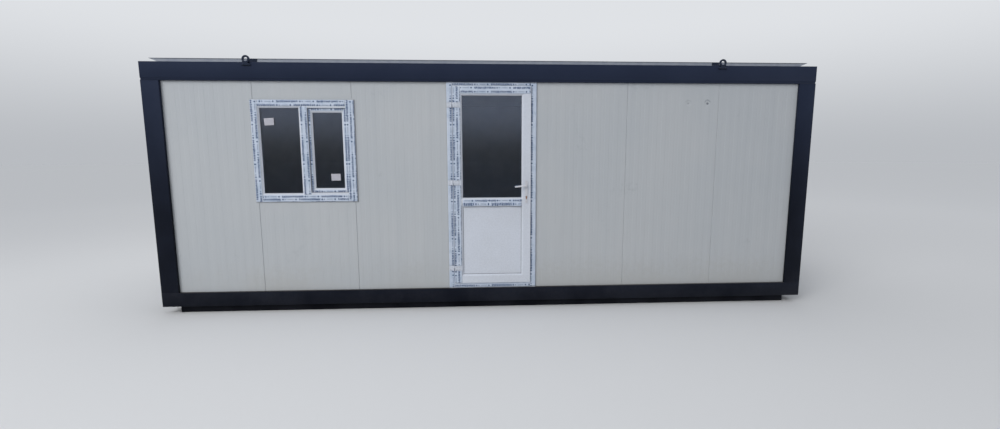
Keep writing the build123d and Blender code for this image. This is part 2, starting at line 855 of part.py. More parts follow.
def lever(root, outward):
    """A lever from its root at the leaf's face: a round neck and a tapered arm."""
    tip = root + outward * lever_standoff
    arm_start = min(tip, tip - outward * lever_thickness)
    with BuildPart() as arm:
        with BuildSketch(Plane.XZ.offset(-(arm_start + lever_thickness))) as outline:
            with Locations((spindle_x, spindle_z)):
                Circle(lever_root_radius)
            with Locations((spindle_x - lever_length, spindle_z - lever_droop)):
                Circle(lever_tip_radius)
            make_hull()
        extrude(outline.sketch, amount=lever_thickness)
        chamfer(arm.edges().filter_by(lambda edge: abs(edge.center().Y - tip) < lever_edge / 2), lever_edge)
        round_bar(spindle_x, spindle_z, neck_radius, *sorted((root, tip - outward * lever_thickness)))
    return arm.part


with BuildPart() as handle_lever_outside:
    add(lever(leaf_front, -1))
keep(handle_lever_outside.part, "handle_lever_outside")

with BuildPart() as handle_lever_inside:
    add(lever(leaf_back, 1))
keep(handle_lever_inside.part, "handle_lever_inside")

with BuildPart() as handle_spindle:
    slab(
        (spindle_x - spindle_size / 2, spindle_x + spindle_size / 2),
        (leaf_front, leaf_back),
        (spindle_z - spindle_size / 2, spindle_z + spindle_size / 2),
    )
keep(handle_spindle.part, "handle_spindle")
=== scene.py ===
import bmesh
import bpy
import json
import math
import random
from mathutils import Matrix, Vector


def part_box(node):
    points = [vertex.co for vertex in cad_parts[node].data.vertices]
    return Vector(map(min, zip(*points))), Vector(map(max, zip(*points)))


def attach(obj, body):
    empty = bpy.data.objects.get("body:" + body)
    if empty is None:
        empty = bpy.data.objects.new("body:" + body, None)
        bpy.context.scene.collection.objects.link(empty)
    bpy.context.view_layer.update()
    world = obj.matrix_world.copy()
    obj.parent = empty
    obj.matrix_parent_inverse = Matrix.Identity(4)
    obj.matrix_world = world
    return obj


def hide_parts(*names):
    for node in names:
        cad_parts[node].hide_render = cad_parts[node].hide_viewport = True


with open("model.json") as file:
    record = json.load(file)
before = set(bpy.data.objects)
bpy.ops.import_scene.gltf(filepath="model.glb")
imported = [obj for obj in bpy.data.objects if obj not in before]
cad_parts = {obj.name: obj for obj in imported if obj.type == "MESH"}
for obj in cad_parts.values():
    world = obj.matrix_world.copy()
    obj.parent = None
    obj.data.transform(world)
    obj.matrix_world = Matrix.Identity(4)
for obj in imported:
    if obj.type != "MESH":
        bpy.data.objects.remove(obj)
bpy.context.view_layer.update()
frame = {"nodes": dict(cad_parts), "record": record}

record = frame["record"]
node_slot = {row["node"]: row["material_slot"] for row in record["subparts"]}
node_body = {node: body for body, nodes in record["behaviour"]["bodies"].items() for node in nodes}

scene = bpy.context.scene
scene.view_settings.view_transform = "Standard"


# shader helpers

def srgb(red, green, blue):
    """A colour on the usual 0 to 255 scale as the linear one that shaders take."""
    def one(value):
        value /= 255
        return value / 12.92 if value <= 0.04045 else ((value + 0.055) / 1.055) ** 2.4
    return (one(red), one(green), one(blue), 1)


class Nodes:
    """A tree of shader nodes, built a node at a time."""

    def __init__(self, tree):
        self.tree = tree
        self.tree.nodes.clear()

    def put(self, kind, inputs=None, **settings):
        node = self.tree.nodes.new("ShaderNode" + kind)
        for key, value in settings.items():
            setattr(node, key, value)
        for key, value in (inputs or {}).items():
            socket = node.inputs[key]
            if isinstance(value, bpy.types.NodeSocket):
                self.tree.links.new(value, socket)
            else:
                socket.default_value = value
        return node

    def place(self):
        """The point on the object, in metres, in the frame that the part shares."""
        return self.put("TexCoord").outputs["Object"]

    def axes(self, vector):
        split = self.put("SeparateXYZ", {"Vector": vector})
        return split.outputs["X"], split.outputs["Y"], split.outputs["Z"]

    def stretch(self, vector, scale):
        return self.put("Mapping", {"Vector": vector, "Scale": scale}).outputs["Vector"]

    def noise(self, vector, scale, detail=3.0, rough=0.5, bend=0.0):
        return self.put(
            "TexNoise",
            {"Vector": vector, "Scale": scale, "Detail": detail, "Roughness": rough, "Distortion": bend},
        ).outputs["Fac"]

    def ramp(self, value, low, high, out_low=0.0, out_high=1.0, smooth=True):
        return self.put(
            "MapRange",
            {"Value": value, "From Min": low, "From Max": high, "To Min": out_low, "To Max": out_high},
            interpolation_type="SMOOTHSTEP" if smooth else "LINEAR",
        ).outputs["Result"]

    def sum(self, operation, *values):
        return self.put("Math", dict(enumerate(values)), operation=operation).outputs[0]

    def distance(self, first, second):
        """How far off a point is, from its two offsets at right angles."""
        squares = [self.sum("MULTIPLY", offset, offset) for offset in (first, second)]
        return self.sum("SQRT", self.sum("ADD", *squares))

    def mix(self, factor, first, second):
        return self.put("Mix", {0: factor, 6: first, 7: second}, data_type="RGBA").outputs[2]

    def bump(self, height, strength, distance, normal=None):
        inputs = {"Height": height, "Strength": strength, "Distance": distance}
        if normal is not None:
            inputs["Normal"] = normal
        return self.put("Bump", inputs).outputs["Normal"]

    def facing_up(self):
        return self.axes(self.put("NewGeometry").outputs["Normal"])[2]


class Shader(Nodes):
    """One node material."""

    def __init__(self, name):
        self.material = bpy.data.materials.new(name)
        self.material.use_nodes = True
        super().__init__(self.material.node_tree)

    def surface(self, **inputs):
        names = {key: key.replace("_", " ").title().replace("Ior", "IOR") for key in inputs}
        shader = self.put("BsdfPrincipled", {names[key]: value for key, value in inputs.items()})
        self.put("OutputMaterial", {"Surface": shader.outputs["BSDF"]})
        return self.material


# materials

# the film's print, in metres along a strip: period, length of a group of dashes, one dash and its gap
PRINT_PERIOD = 0.405
GROUP_LENGTH = 0.2208
DASH_PITCH = 0.0184
ROW_SHIFT = 0.173
# whole periods added to each place, so that none is negative
PERIODS_ADDED = 40
# least and greatest top, bottom and width of a dash, and how much it leans
DASH_TOP = (0.0072, 0.0122)
DASH_BOTTOM = (-0.0120, -0.0070)
DASH_WIDTH = (0.0106, 0.0164)
DASH_LEAN = 0.3
# a slit in the wider dashes: its place and half width, and the chance below which there is none
SLIT_PLACE = 0.0065
SLIT_HALF = 0.0011
SLIT_CHANCE = 0.45
# place in the period and radius of each dot
DOTS = ((0.238, 0.0082), (0.262, 0.0056), (0.372, 0.0084))
# the row of small marks: where it starts and ends, one mark and its gap, one mark, half its height
SMALL_SPAN = (0.286, 0.350)
SMALL_PITCH = 0.0105
SMALL_LENGTH = 0.0068
SMALL_HALF = 0.0044

# how much darker the paint is painted near the ground: painted shade
LOW_PAINTED_SHADE = 0.24


def paint(name, colour, roughness=0.42, level=0.10, dust_top=0.42):
    """Satin paint on steel: painted shade darkens it low down, with fine scratches, dust on ledges and a
    little mud.
    """
    s = Shader(name)
    at = s.place()
    high = s.axes(at)[2]
    broad = s.noise(at, 1.7, 4.0, 0.6)
    fine = s.noise(at, 38.0, 5.0, 0.65)
    # painted shade: a darker copy of the colour, reached towards the ground
    darker_tone = tuple(LOW_PAINTED_SHADE * channel for channel in colour[:3]) + (1,)
    shaded_low_down = s.mix(s.ramp(high, 0.9, 2.7), darker_tone, colour)
    worn = s.mix(s.ramp(broad, 0.3, 0.7, 0.0, 0.10), shaded_low_down, srgb(52, 60, 80))
    scratch = s.noise(s.stretch(at, (14, 14, 160)), 2.2, 2.0, 0.4, 0.4)
    nick = s.sum("MULTIPLY", s.ramp(scratch, 0.70, 0.76), s.ramp(fine, 0.5, 0.62))
    worn = s.mix(s.sum("MULTIPLY", nick, 0.3), worn, srgb(92, 98, 110))
    splash = s.sum("ADD", high, s.ramp(fine, 0.2, 0.8, -0.16, 0.16))
    mud = s.sum("MULTIPLY", s.ramp(splash, dust_top, 0.06), s.ramp(broad, 0.3, 0.62, 0.0, 0.035))
    ledge = s.sum("MULTIPLY", s.ramp(s.facing_up(), 0.6, 0.95), s.ramp(fine, 0.3, 0.7, 0.1, 0.4))
    dirty = s.mix(s.sum("MAXIMUM", mud, ledge), worn, srgb(112, 106, 98))
    rough = s.ramp(fine, 0.3, 0.7, roughness - 0.06, roughness + 0.08)
    rough = s.sum("ADD", rough, s.sum("MULTIPLY", mud, 0.5))
    peel = s.bump(s.noise(at, 420.0, 2.0), 0.05, 0.0006)
    wave = s.bump(s.noise(at, 2.6, 2.0), 0.25, 0.004, peel)
    return s.surface(base_color=dirty, roughness=rough, specular_ior_level=level, normal=wave)


# painted shade in the fifth panel's two dents: place along the panel, height over its foot, strength
DENT_SHADE = ((0.664, 1.991, 0.4), (0.874, 1.991, 1.0))
# how far behind the panel's face the marks still show
SKIN_DEPTH = 0.012


def dent_shade(s, at):
    """Painted shade: a dark spot in each dent's hole and a painted shadow arc along its upper rim, on the
    outer skin alone.
    """
    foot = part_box("front_panel_5")[0]
    x, y, z = s.axes(at)
    wobble = s.ramp(s.noise(at, 34.0, 3.0, 0.6), 0.3, 0.7, -0.006, 0.006)
    patchy = s.ramp(s.noise(at, 85.0, 3.0, 0.6), 0.3, 0.6, 0.5, 1.0)
    marks = 0.0
    for along, height, strength in DENT_SHADE:
        right = s.sum("SUBTRACT", x, foot.x + along)
        up = s.sum("SUBTRACT", z, foot.z + height)
        reach = s.sum("ADD", s.distance(right, up), wobble)
        rim = s.sum("MULTIPLY", s.ramp(reach, 0.020, 0.030), s.ramp(reach, 0.046, 0.036))
        # painted shadow along the upper rim of each dent
        shadow_arc = s.sum("MULTIPLY", s.sum("MULTIPLY", rim, s.ramp(up, 0.004, 0.024)), 0.45)
        spot = s.ramp(reach, 0.016, 0.006)
        mark = s.sum("MULTIPLY", s.sum("MAXIMUM", spot, shadow_arc), strength)
        marks = s.sum("MAXIMUM", marks, mark)
    marks = s.sum("MULTIPLY", marks, patchy)
    return s.sum("MULTIPLY", marks, s.sum("LESS_THAN", y, foot.y + SKIN_DEPTH))


def panel_skin(name):
    """Coated sheet on the wall panels: faint upright streaks, smudges, dust low down and painted shade in
    the fifth panel's two dents.
    """
    s = Shader(name)
    at = s.place()
    high = s.axes(at)[2]
    streak = s.noise(s.stretch(at, (11, 11, 0.35)), 1.0, 4.0, 0.6)
    cloud = s.noise(at, 0.9, 3.0, 0.55)
    grain = s.noise(at, 26.0, 5.0, 0.7)
    tone = s.mix(s.ramp(cloud, 0.3, 0.7), srgb(167, 171, 175), srgb(171, 174, 177))
    tone = s.mix(s.ramp(streak, 0.34, 0.72, 0.0, 0.16), tone, srgb(156, 161, 166))
    blotch = s.ramp(s.noise(at, 2.3, 5.0, 0.62, 0.6), 0.60, 0.72)
    smudge = s.sum("MULTIPLY", blotch, s.ramp(grain, 0.45, 0.62))
    tone = s.mix(s.sum("MULTIPLY", smudge, 0.22), tone, srgb(134, 138, 142))
    low = s.sum("ADD", high, s.ramp(grain, 0.2, 0.8, -0.12, 0.12))
    dust = s.sum("MULTIPLY", s.ramp(low, 0.62, 0.24), s.ramp(cloud, 0.32, 0.6, 0.06, 0.30))
    tone = s.mix(dust, tone, srgb(150, 148, 142))
    # painted shade in the fifth panel's two dents
    tone = s.mix(dent_shade(s, at), tone, srgb(92, 96, 104))
    rough = s.ramp(grain, 0.3, 0.7, 0.40, 0.54)
    dimple = s.bump(s.noise(at, 2.1, 1.0), 0.35, 0.004)
    emboss = s.bump(s.noise(at, 300.0, 2.0), 0.06, 0.0005, dimple)
    return s.surface(base_color=tone, roughness=rough, specular_ior_level=0.35, normal=emboss)


def smooth_coat(name, colour, roughness, level=0.5, dust=0.12, peel=0.03):
    """White plastic or powder coat with a trace of handling dirt."""
    s = Shader(name)
    at = s.place()
    cloud = s.noise(at, 3.1, 4.0, 0.6)
    grain = s.noise(at, 60.0, 4.0, 0.65)
    soiled = s.mix(s.ramp(cloud, 0.35, 0.75, 0.0, dust), colour, srgb(150, 150, 148))
    spots = s.sum("MULTIPLY", s.ramp(grain, 0.66, 0.72), 0.35)
    soiled = s.mix(spots, soiled, srgb(140, 138, 132))
    rough = s.ramp(grain, 0.3, 0.7, roughness - 0.04, roughness + 0.07)
    normal = s.bump(s.noise(at, 160.0, 2.0), peel, 0.0006)
    return s.surface(base_color=soiled, roughness=rough, specular_ior_level=level, normal=normal)


def printed_film(name):
    """Thin pale blue film with rows of slanted dashes and dots, placed by the strip's own coordinates."""
    s = Shader(name)
    strip = s.put("Attribute", attribute_name="strip").outputs["Vector"]
    along, across, pitch = s.axes(strip)
    at = s.place()
    row = s.sum("ROUND", across)
    height = s.sum("MULTIPLY", s.sum("SUBTRACT", across, row), pitch)
    shifted = s.sum("ADD", along, s.sum("MULTIPLY", row, ROW_SHIFT))
    cell = s.sum("MODULO", s.sum("ADD", shifted, PERIODS_ADDED * PRINT_PERIOD), PRINT_PERIOD)
    slanted = s.sum("ADD", cell, s.sum("MULTIPLY", height, DASH_LEAN))
    number = s.sum("FLOOR", s.sum("DIVIDE", slanted, DASH_PITCH))
    inside = s.sum("SUBTRACT", slanted, s.sum("MULTIPLY", number, DASH_PITCH))
    chance = s.put(
        "TexWhiteNoise",
        {"Vector": s.put("CombineXYZ", {"X": number, "Y": row, "Z": pitch}).outputs["Vector"]},
        noise_dimensions="3D",
    ).outputs["Color"]
    chance_low, chance_high, chance_wide = s.axes(chance)
    top = s.ramp(chance_high, 0.0, 1.0, *DASH_TOP, smooth=False)
    bottom = s.ramp(chance_low, 0.0, 1.0, *DASH_BOTTOM, smooth=False)
    wide = s.ramp(chance_wide, 0.0, 1.0, *DASH_WIDTH, smooth=False)
    dash = s.sum("MULTIPLY", s.sum("LESS_THAN", height, top), s.sum("GREATER_THAN", height, bottom))
    dash = s.sum("MULTIPLY", dash, s.sum("LESS_THAN", inside, wide))
    slit = s.sum("LESS_THAN", s.sum("ABSOLUTE", s.sum("SUBTRACT", inside, SLIT_PLACE)), SLIT_HALF)
    slit = s.sum("MULTIPLY", slit, s.sum("GREATER_THAN", chance_wide, SLIT_CHANCE))
    dash = s.sum("MULTIPLY", dash, s.sum("SUBTRACT", 1.0, slit))
    marks = s.sum("MULTIPLY", dash, s.sum("LESS_THAN", cell, GROUP_LENGTH))
    for centre, radius in DOTS:
        reach = s.distance(s.sum("SUBTRACT", cell, centre), height)
        marks = s.sum("MAXIMUM", marks, s.sum("LESS_THAN", reach, radius))
    fine = s.sum("LESS_THAN", s.sum("MODULO", cell, SMALL_PITCH), SMALL_LENGTH)
    fine = s.sum("MULTIPLY", fine, s.sum("LESS_THAN", s.sum("ABSOLUTE", height), SMALL_HALF))
    fine = s.sum("MULTIPLY", fine, s.sum("GREATER_THAN", cell, SMALL_SPAN[0]))
    fine = s.sum("MULTIPLY", fine, s.sum("LESS_THAN", cell, SMALL_SPAN[1]))
    ink = s.sum("MAXIMUM", marks, s.sum("MULTIPLY", fine, 0.75))
    patchy = s.noise(at, 90.0, 3.0, 0.6)
    ink = s.sum("MULTIPLY", ink, s.ramp(patchy, 0.25, 0.6, 0.78, 1.0))
    cloud = s.noise(at, 9.0, 4.0, 0.6)
    film = s.mix(s.ramp(cloud, 0.3, 0.7), srgb(168, 180, 198), srgb(183, 192, 206))
    colour = s.mix(ink, film, srgb(8, 48, 90))
    crease = s.bump(s.noise(at, 70.0, 3.0, 0.6, 0.5), 0.3, 0.0012)
    rough = s.ramp(cloud, 0.3, 0.7, 0.22, 0.36)
    return s.surface(base_color=colour, roughness=rough, specular_ior_level=0.4, normal=crease)


def glazing(name):
    """Clear glass with a thin haze, whose reflection is tinted darker towards its lower edge: painted shade
    on the reflection.
    """
    s = Shader(name)
    at = s.place()
    haze = s.noise(at, 7.0, 5.0, 0.65)
    tint = s.mix(s.ramp(haze, 0.3, 0.7), srgb(176, 190, 206), srgb(188, 200, 213))
    rough = s.ramp(haze, 0.45, 0.75, 0.0, 0.05)
    normal = s.bump(s.noise(at, 1.6, 1.0), 0.02, 0.002)
    # painted shade: the reflection is tinted darker low down
    reflection_dimmed_low = s.mix(s.ramp(s.axes(at)[2], 1.35, 2.1), srgb(182, 186, 196), srgb(255, 255, 255))
    return s.surface(
        base_color=tint, roughness=rough, transmission_weight=1.0, ior=1.58,
        specular_tint=reflection_dimmed_low, normal=normal,
    )


def metal(name, colour, roughness):
    """Bare or plated steel with fine drawn lines."""
    s = Shader(name)
    at = s.place()
    lines = s.noise(s.stretch(at, (40, 40, 4)), 6.0, 3.0, 0.6)
    cloud = s.noise(at, 30.0, 4.0, 0.6)
    darker_tone = (colour[0] * 0.6, colour[1] * 0.58, colour[2] * 0.55, 1)
    tone = s.mix(s.ramp(cloud, 0.35, 0.7, 0.0, 0.4), colour, darker_tone)
    rough = s.ramp(lines, 0.3, 0.7, roughness - 0.08, roughness + 0.12)
    normal = s.bump(lines, 0.1, 0.0005)
    return s.surface(base_color=tone, roughness=rough, metallic=0.9, normal=normal)


def timber(name, light, dark, along="X"):
    """Sawn softwood or board with grain along one axis."""
    s = Shader(name)
    at = s.place()
    scale = {"X": (1.2, 22, 22), "Y": (22, 1.2, 22)}[along]
    grain = s.noise(s.stretch(at, scale), 3.0, 5.0, 0.6, 1.2)
    fibre = s.noise(s.stretch(at, tuple(4 * v for v in scale)), 6.0, 3.0, 0.6)
    tone = s.mix(s.ramp(grain, 0.35, 0.68), light, dark)
    tone = s.mix(s.ramp(fibre, 0.4, 0.8, 0.0, 0.3), tone, dark)
    normal = s.bump(fibre, 0.3, 0.001)
    return s.surface(base_color=tone, roughness=s.ramp(fibre, 0.3, 0.7, 0.62, 0.8), normal=normal)


def roof_coat(name):
    """Coated roofing sheet with dust lying in the pans."""
    s = Shader(name)
    at = s.place()
    run = s.noise(s.stretch(at, (9, 0.7, 9)), 1.5, 4.0, 0.6)
    grain = s.noise(at, 34.0, 5.0, 0.65)
    tone = s.mix(s.ramp(run, 0.3, 0.7), srgb(133, 139, 151), srgb(146, 151, 160))
    settle = s.sum("MULTIPLY", s.ramp(s.facing_up(), 0.8, 1.0), s.ramp(grain, 0.35, 0.65, 0.08, 0.45))
    tone = s.mix(settle, tone, srgb(128, 124, 116))
    normal = s.bump(s.noise(at, 240.0, 2.0), 0.05, 0.0006)
    rough = s.ramp(grain, 0.3, 0.7, 0.36, 0.52)
    return s.surface(base_color=tone, roughness=rough, specular_ior_level=0.5, normal=normal)


def soft_rubber(name, colour):
    """Rubber or sealant, paler where dust clings to it."""
    s = Shader(name)
    at = s.place()
    grain = s.noise(at, 120.0, 3.0, 0.6)
    tone = s.mix(s.ramp(grain, 0.35, 0.75, 0.0, 0.3), colour, srgb(96, 98, 100))
    rough = s.ramp(grain, 0.3, 0.7, 0.55, 0.72)
    normal = s.bump(grain, 0.1, 0.0006)
    return s.surface(base_color=tone, roughness=rough, specular_ior_level=0.3, normal=normal)


def paper(name):
    """A blank stuck-on label."""
    s = Shader(name)
    at = s.place()
    fibre = s.noise(at, 140.0, 3.0, 0.6)
    cloud = s.noise(at, 22.0, 3.0, 0.6)
    tone = s.mix(s.ramp(cloud, 0.3, 0.7, 0.0, 0.5), srgb(171, 171, 179), srgb(157, 157, 166))
    rough = s.ramp(fibre, 0.3, 0.7, 0.6, 0.75)
    normal = s.bump(fibre, 0.12, 0.0004)
    return s.surface(base_color=tone, roughness=rough, specular_ior_level=0.3, normal=normal)


looks = {
    "frame_paint": paint("frame_paint", srgb(29, 36, 53)),
    # the skids' paint is darker than the frame's: painted shade, so that they merge with the shadow under
    # the cabin
    "skid_paint": paint("skid_paint", srgb(24, 28, 38), 0.6, 0.06, 0.3),
    "joist_steel": paint("joist_steel", srgb(112, 112, 114), 0.55),
    "floor_board": timber("floor_board", srgb(150, 128, 100), srgb(112, 88, 62)),
    "batten_timber": timber("batten_timber", srgb(178, 150, 108), srgb(128, 98, 62), "Y"),
    "roof_steel": roof_coat("roof_steel"),
    "lug_steel": paint("lug_steel", srgb(24, 31, 46), 0.5, 0.2),
    "panel_coat": panel_skin("panel_coat"),
    "ceiling_coat": smooth_coat("ceiling_coat", srgb(216, 218, 218), 0.5, 0.35),
    "clear_glass": glazing("clear_glass"),
    "white_profile": smooth_coat("white_profile", srgb(191, 196, 206), 0.26, 0.4),
    "protective_film": printed_film("protective_film"),
    "hinge_white": smooth_coat("hinge_white", srgb(188, 193, 203), 0.34, 0.4),
    "handle_white": smooth_coat("handle_white", srgb(190, 191, 197), 0.3, 0.45),
    "spindle_steel": metal("spindle_steel", (0.45, 0.45, 0.46, 1), 0.35),
    "lock_brass": metal("lock_brass", (0.30, 0.16, 0.09, 1), 0.38),
}
gasket = soft_rubber("gasket_rubber", srgb(44, 46, 50))
seal_grey = soft_rubber("sealant_grey", srgb(150, 152, 154))
zinc = metal("screw_zinc", (0.42, 0.43, 0.45, 1), 0.34)
label_paper = paper("label_paper")
seam_grey = smooth_coat("weld_seam", srgb(168, 172, 181), 0.4, 0.3)

for node, piece in frame["nodes"].items():
    piece.data.materials.clear()
    piece.data.materials.append(looks[node_slot[node]])


# mesh helpers

def add_piece(name, mesh, body, slot, *materials, smooth=False):
    """A piece on its body; it has the look of its slot where no materials are given."""
    piece = bpy.data.objects.new(name, mesh)
    scene.collection.objects.link(piece)
    for material in materials or (looks[slot],):
        mesh.materials.append(material)
    if smooth:
        mesh.polygons.foreach_set("use_smooth", [True] * len(mesh.polygons))
    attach(piece, body)
    return piece


def finished(name, bm, body, slot, *materials):
    bmesh.ops.recalc_face_normals(bm, faces=bm.faces)
    mesh = bpy.data.meshes.new(name)
    bm.to_mesh(mesh)
    bm.free()
    return add_piece(name, mesh, body, slot, *materials)


# edges that turn by more than this many degrees are rounded
SHARP_ANGLE = 28


def rounded(node, width, segments):
    """A copy of a CAD node with its sharp edges rounded, shown in its place."""
    source = frame["nodes"][node]
    bm = bmesh.new()
    bm.from_mesh(source.data)
    bmesh.ops.remove_doubles(bm, verts=bm.verts, dist=2e-5)
    bmesh.ops.dissolve_limit(
        bm, angle_limit=math.radians(1), verts=bm.verts, edges=bm.edges, use_dissolve_boundaries=False
    )
    mesh = bpy.data.meshes.new(node + "_rounded")
    bm.to_mesh(mesh)
    bm.free()
    piece = add_piece(node + "_rounded", mesh, node_body[node], node_slot[node], smooth=True)
    bevel = piece.modifiers.new("edges", "BEVEL")
    bevel.width = width
    bevel.segments = segments
    bevel.limit_method = "ANGLE"
    bevel.angle_limit = math.radians(SHARP_ANGLE)
    bevel.harden_normals = True
    bevel.use_clamp_overlap = True
    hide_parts(node)


def loft(bm, rings, material=0, smooth=True, wrap=False):
    """Joins rings of equal length with quads, and closes the two ends or joins last to first."""
    rows = [[bm.verts.new(point) for point in points] for points in rings]
    count = len(rows[0])
    pairs = list(zip(rows, rows[1:])) + ([(rows[-1], rows[0])] if wrap else [])
    for a, b in pairs:
        for i in range(count):
            face = bm.faces.new((a[i], a[(i + 1) % count], b[(i + 1) % count], b[i]))
            face.material_index = material
            face.smooth = smooth
    if not wrap:
        for row in (rows[0][::-1], rows[-1]):
            bm.faces.new(row).material_index = material


def ring(centre, radius, axis, count=20):
    """Points of a circle about an axis through a centre."""
    axis = Vector(axis).normalized()
    side = axis.orthogonal().normalized()
    other = axis.cross(side)
    angles = [2 * math.pi * i / count for i in range(count)]
    return [Vector(centre) + side * (radius * math.cos(a)) + other * (radius * math.sin(a)) for a in angles]


def turned(bm, centre, axis, profile, count=16, material=0, smooth=True, wrap=False):
    """A turned form: profile is a list of (radius, distance along the axis)."""
    axis = Vector(axis).normalized()
    rings = [ring(Vector(centre) + axis * along, radius, axis, count) for radius, along in profile]
    loft(bm, rings, material, smooth, wrap)


def screw_head(bm, centre, axis, radius, height, material=0):
    """A pan head with its socket."""
    profile = [(1, 0), (1, 0.35), (0.86, 0.78), (0.55, 1), (0.36, 1), (0.32, 0.4)]
    turned(bm, centre, axis, [(radius * r, height * h) for r, h in profile], 14, material)


def hex_screw(bm, centre, washer, head, height):
    """A roofing screw: a hexagon head over its sealing washer."""
    up = Vector((0, 0, 1))
    thick = 0.0034
    turned(bm, centre, up, [(washer, 0), (washer, 0.0022), (washer * 0.8, thick)], 16, 1)
    profile = [(head, 0), (head, height), (head * 0.8, height + 0.001)]
    turned(bm, centre + up * thick, up, profile, 6, 0, False)


def frame_strip(bm, x, z, section, material=0, open_below=False):
    """A mitred strip round an upright rectangle; each point of its section is (how far inward, Y)."""
    corners = ((x[0], z[0], 1, 1), (x[0], z[1], 1, -1), (x[1], z[1], -1, -1), (x[1], z[0], -1, 1))
    rows = []
    for corner_x, corner_z, in_x, in_z in corners:
        lift = 0 if open_below and in_z > 0 else in_z
        rows.append([(corner_x + in_x * u, y, corner_z + lift * u) for u, y in section])
    loft(bm, rows, material, smooth=False, wrap=not open_below)


def seam(bm, start, end, y, outward, width=0.0012, proud=0.0002):
    """The fine raised line where two white profiles are welded at a mitre."""
    run = (Vector(end) - Vector(start)).normalized()
    across = Vector((-run.y, run.x)) * width / 2
    rings = []
    for point in (Vector(start), Vector(end)):
        left, right = point + across, point - across
        rings.append([(left.x, y, left.y), (right.x, y, right.y), (point.x, y + outward * proud, point.y)])
    loft(bm, rings, smooth=False)


def weld_bead(bm, start, end, radius, rng):
    """A straight rippled weld, half sunk in what it joins."""
    start, end = Vector(start), Vector(end)
    count = max(3, round((end - start).length / 0.0035))
    rings = []
    for i in range(count + 1):
        swell = radius * (0.80 + 0.2 * (i % 2) + rng.uniform(-0.06, 0.06))
        rings.append(ring(start.lerp(end, i / count), swell, end - start, 8))
    loft(bm, rings)


def grown(limits, amount):
    return (limits[0] - amount, limits[1] + amount)


# sizes taken from the frame

window_low, window_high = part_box("window_frame")
leaf_low, leaf_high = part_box("door_leaf")
jamb_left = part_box("door_jamb_left")
jamb_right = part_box("door_jamb_right")
sill_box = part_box("door_sill")
head_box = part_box("door_head")
plate_low, plate_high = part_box("handle_plates")
wall_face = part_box("front_panel_1")[0].y
beam_face = -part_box("roof_beam_front")[0].y
leaf_x = (leaf_low.x, leaf_high.x)
leaf_z = (leaf_low.z, leaf_high.z)

# sizes that the frame's boxes don't give, as in the part's source
LUG_STRAP = 0.075
LUG_FOOT = 0.084
LUG_NECK = 0.036
# heights over the lug's foot at which its side turns, from the foot's edge to the neck
LUG_TURNS = (0, 0.008, 0.024, 0.032)
RIB_PITCH = 0.250
RIB_CREST = 0.070
RIB_SLOPE = 0.030
BATTENS = 7
BATTEN_WIDTH = 0.045
GLASS_UNIT = 0.024
# the fixed light from the window's left side, and from its foot and head
FIXED_FROM_LEFT = (0.086, 0.480)
FIXED_FROM_FOOT = 0.091
FIXED_FROM_HEAD = 0.083
# the sash's rim that the frame covers, its profile round the glass, and the glazing bead's width
SASH_COVERED = 0.008
SASH_PROFILE = 0.046
BEAD = 0.018
# how far behind the wall's face the two panes of the window lie
FIXED_PANE_DEPTH = 0.008
SASH_PANE_DEPTH = 0.014
# the leaf's profile, heights of its light's foot and its infill's top, and the rim of its back
LEAF_PROFILE = 0.097
LIGHT_FOOT = 1.222
INFILL_TOP = 1.125
LEAF_BACK_RIM = 0.018
# the hinges: two from the leaf's foot, one from its head, half their length, the axis from its corner
HINGES_FROM_FOOT = (0.166, 1.096)
HINGE_FROM_HEAD = 0.195
HINGE_HALF = 0.024
HINGE_AXIS = (-0.013, -0.004)
LOCK_RADIUS = 0.0085


# camera, light and stage

WORLD_LIGHT = 0.54
LIGHT_TINT = (0.93, 0.96, 1.0)
# an even soft light from the front left: strength, degrees above the floor, degrees to the left, spread
EVEN_LIGHT = (0.70, 28, 42, 45)
# name, place, target, size, full angle of the beam, watts
LAMPS = (
    ("key", (-9.5, -12.0, 9.0), (-1.8, -1.0, 1.0), 8.0, 80, 235),
    ("top", (0.0, 1.5, 8.0), (0, 0, 1.0), 8.0, 180, 220),
)
FLOOR_NEAR = (0.66, 0.67, 0.69)
FLOOR_FAR = (0.80, 0.81, 0.83)
# the floor's rings, and the corners of each
FLOOR_RADII = (6, 14, 40, 160)
FLOOR_CORNERS = 64
LAMP_TINT = (1.0, 0.99, 0.97)
# the backdrop over the horizon, seen and mirrored: colour, and the height where it is reached
SEEN_BACKDROP = ((0.74, 0.76, 0.79), 0.26)
MIRRORED_BACKDROP = ((0.98, 1.10, 1.40), 0.11)
# the camera fitted to the photo: place, degrees to the right, down and rolled, lens and sensor in mm
CAMERA_PLACE = (-0.160, -6.009, 1.657)
CAMERA_TURN = (2.986, 7.299, 0.158)
CAMERA_LENS = 16.2
CAMERA_SENSOR = 36


def camera_like_photo():
    """The camera from which the photo was taken."""
    yaw, pitch, roll = [math.radians(angle) for angle in CAMERA_TURN]
    forward = Vector((math.sin(yaw) * math.cos(pitch), math.cos(yaw) * math.cos(pitch), -math.sin(pitch)))
    level = Vector((math.cos(yaw), -math.sin(yaw), 0))
    plumb = forward.cross(level)
    right = level * math.cos(roll) + plumb * math.sin(roll)
    down = plumb * math.cos(roll) - level * math.sin(roll)
    data = bpy.data.cameras.new("camera")
    data.lens = CAMERA_LENS
    data.sensor_width = CAMERA_SENSOR
    data.clip_start = 0.05
    data.clip_end = 400
    camera = bpy.data.objects.new("camera", data)
    turn = Matrix((right, -down, -forward)).transposed().to_4x4()
    camera.matrix_world = Matrix.Translation(CAMERA_PLACE) @ turn
    scene.collection.objects.link(camera)
    scene.camera = camera


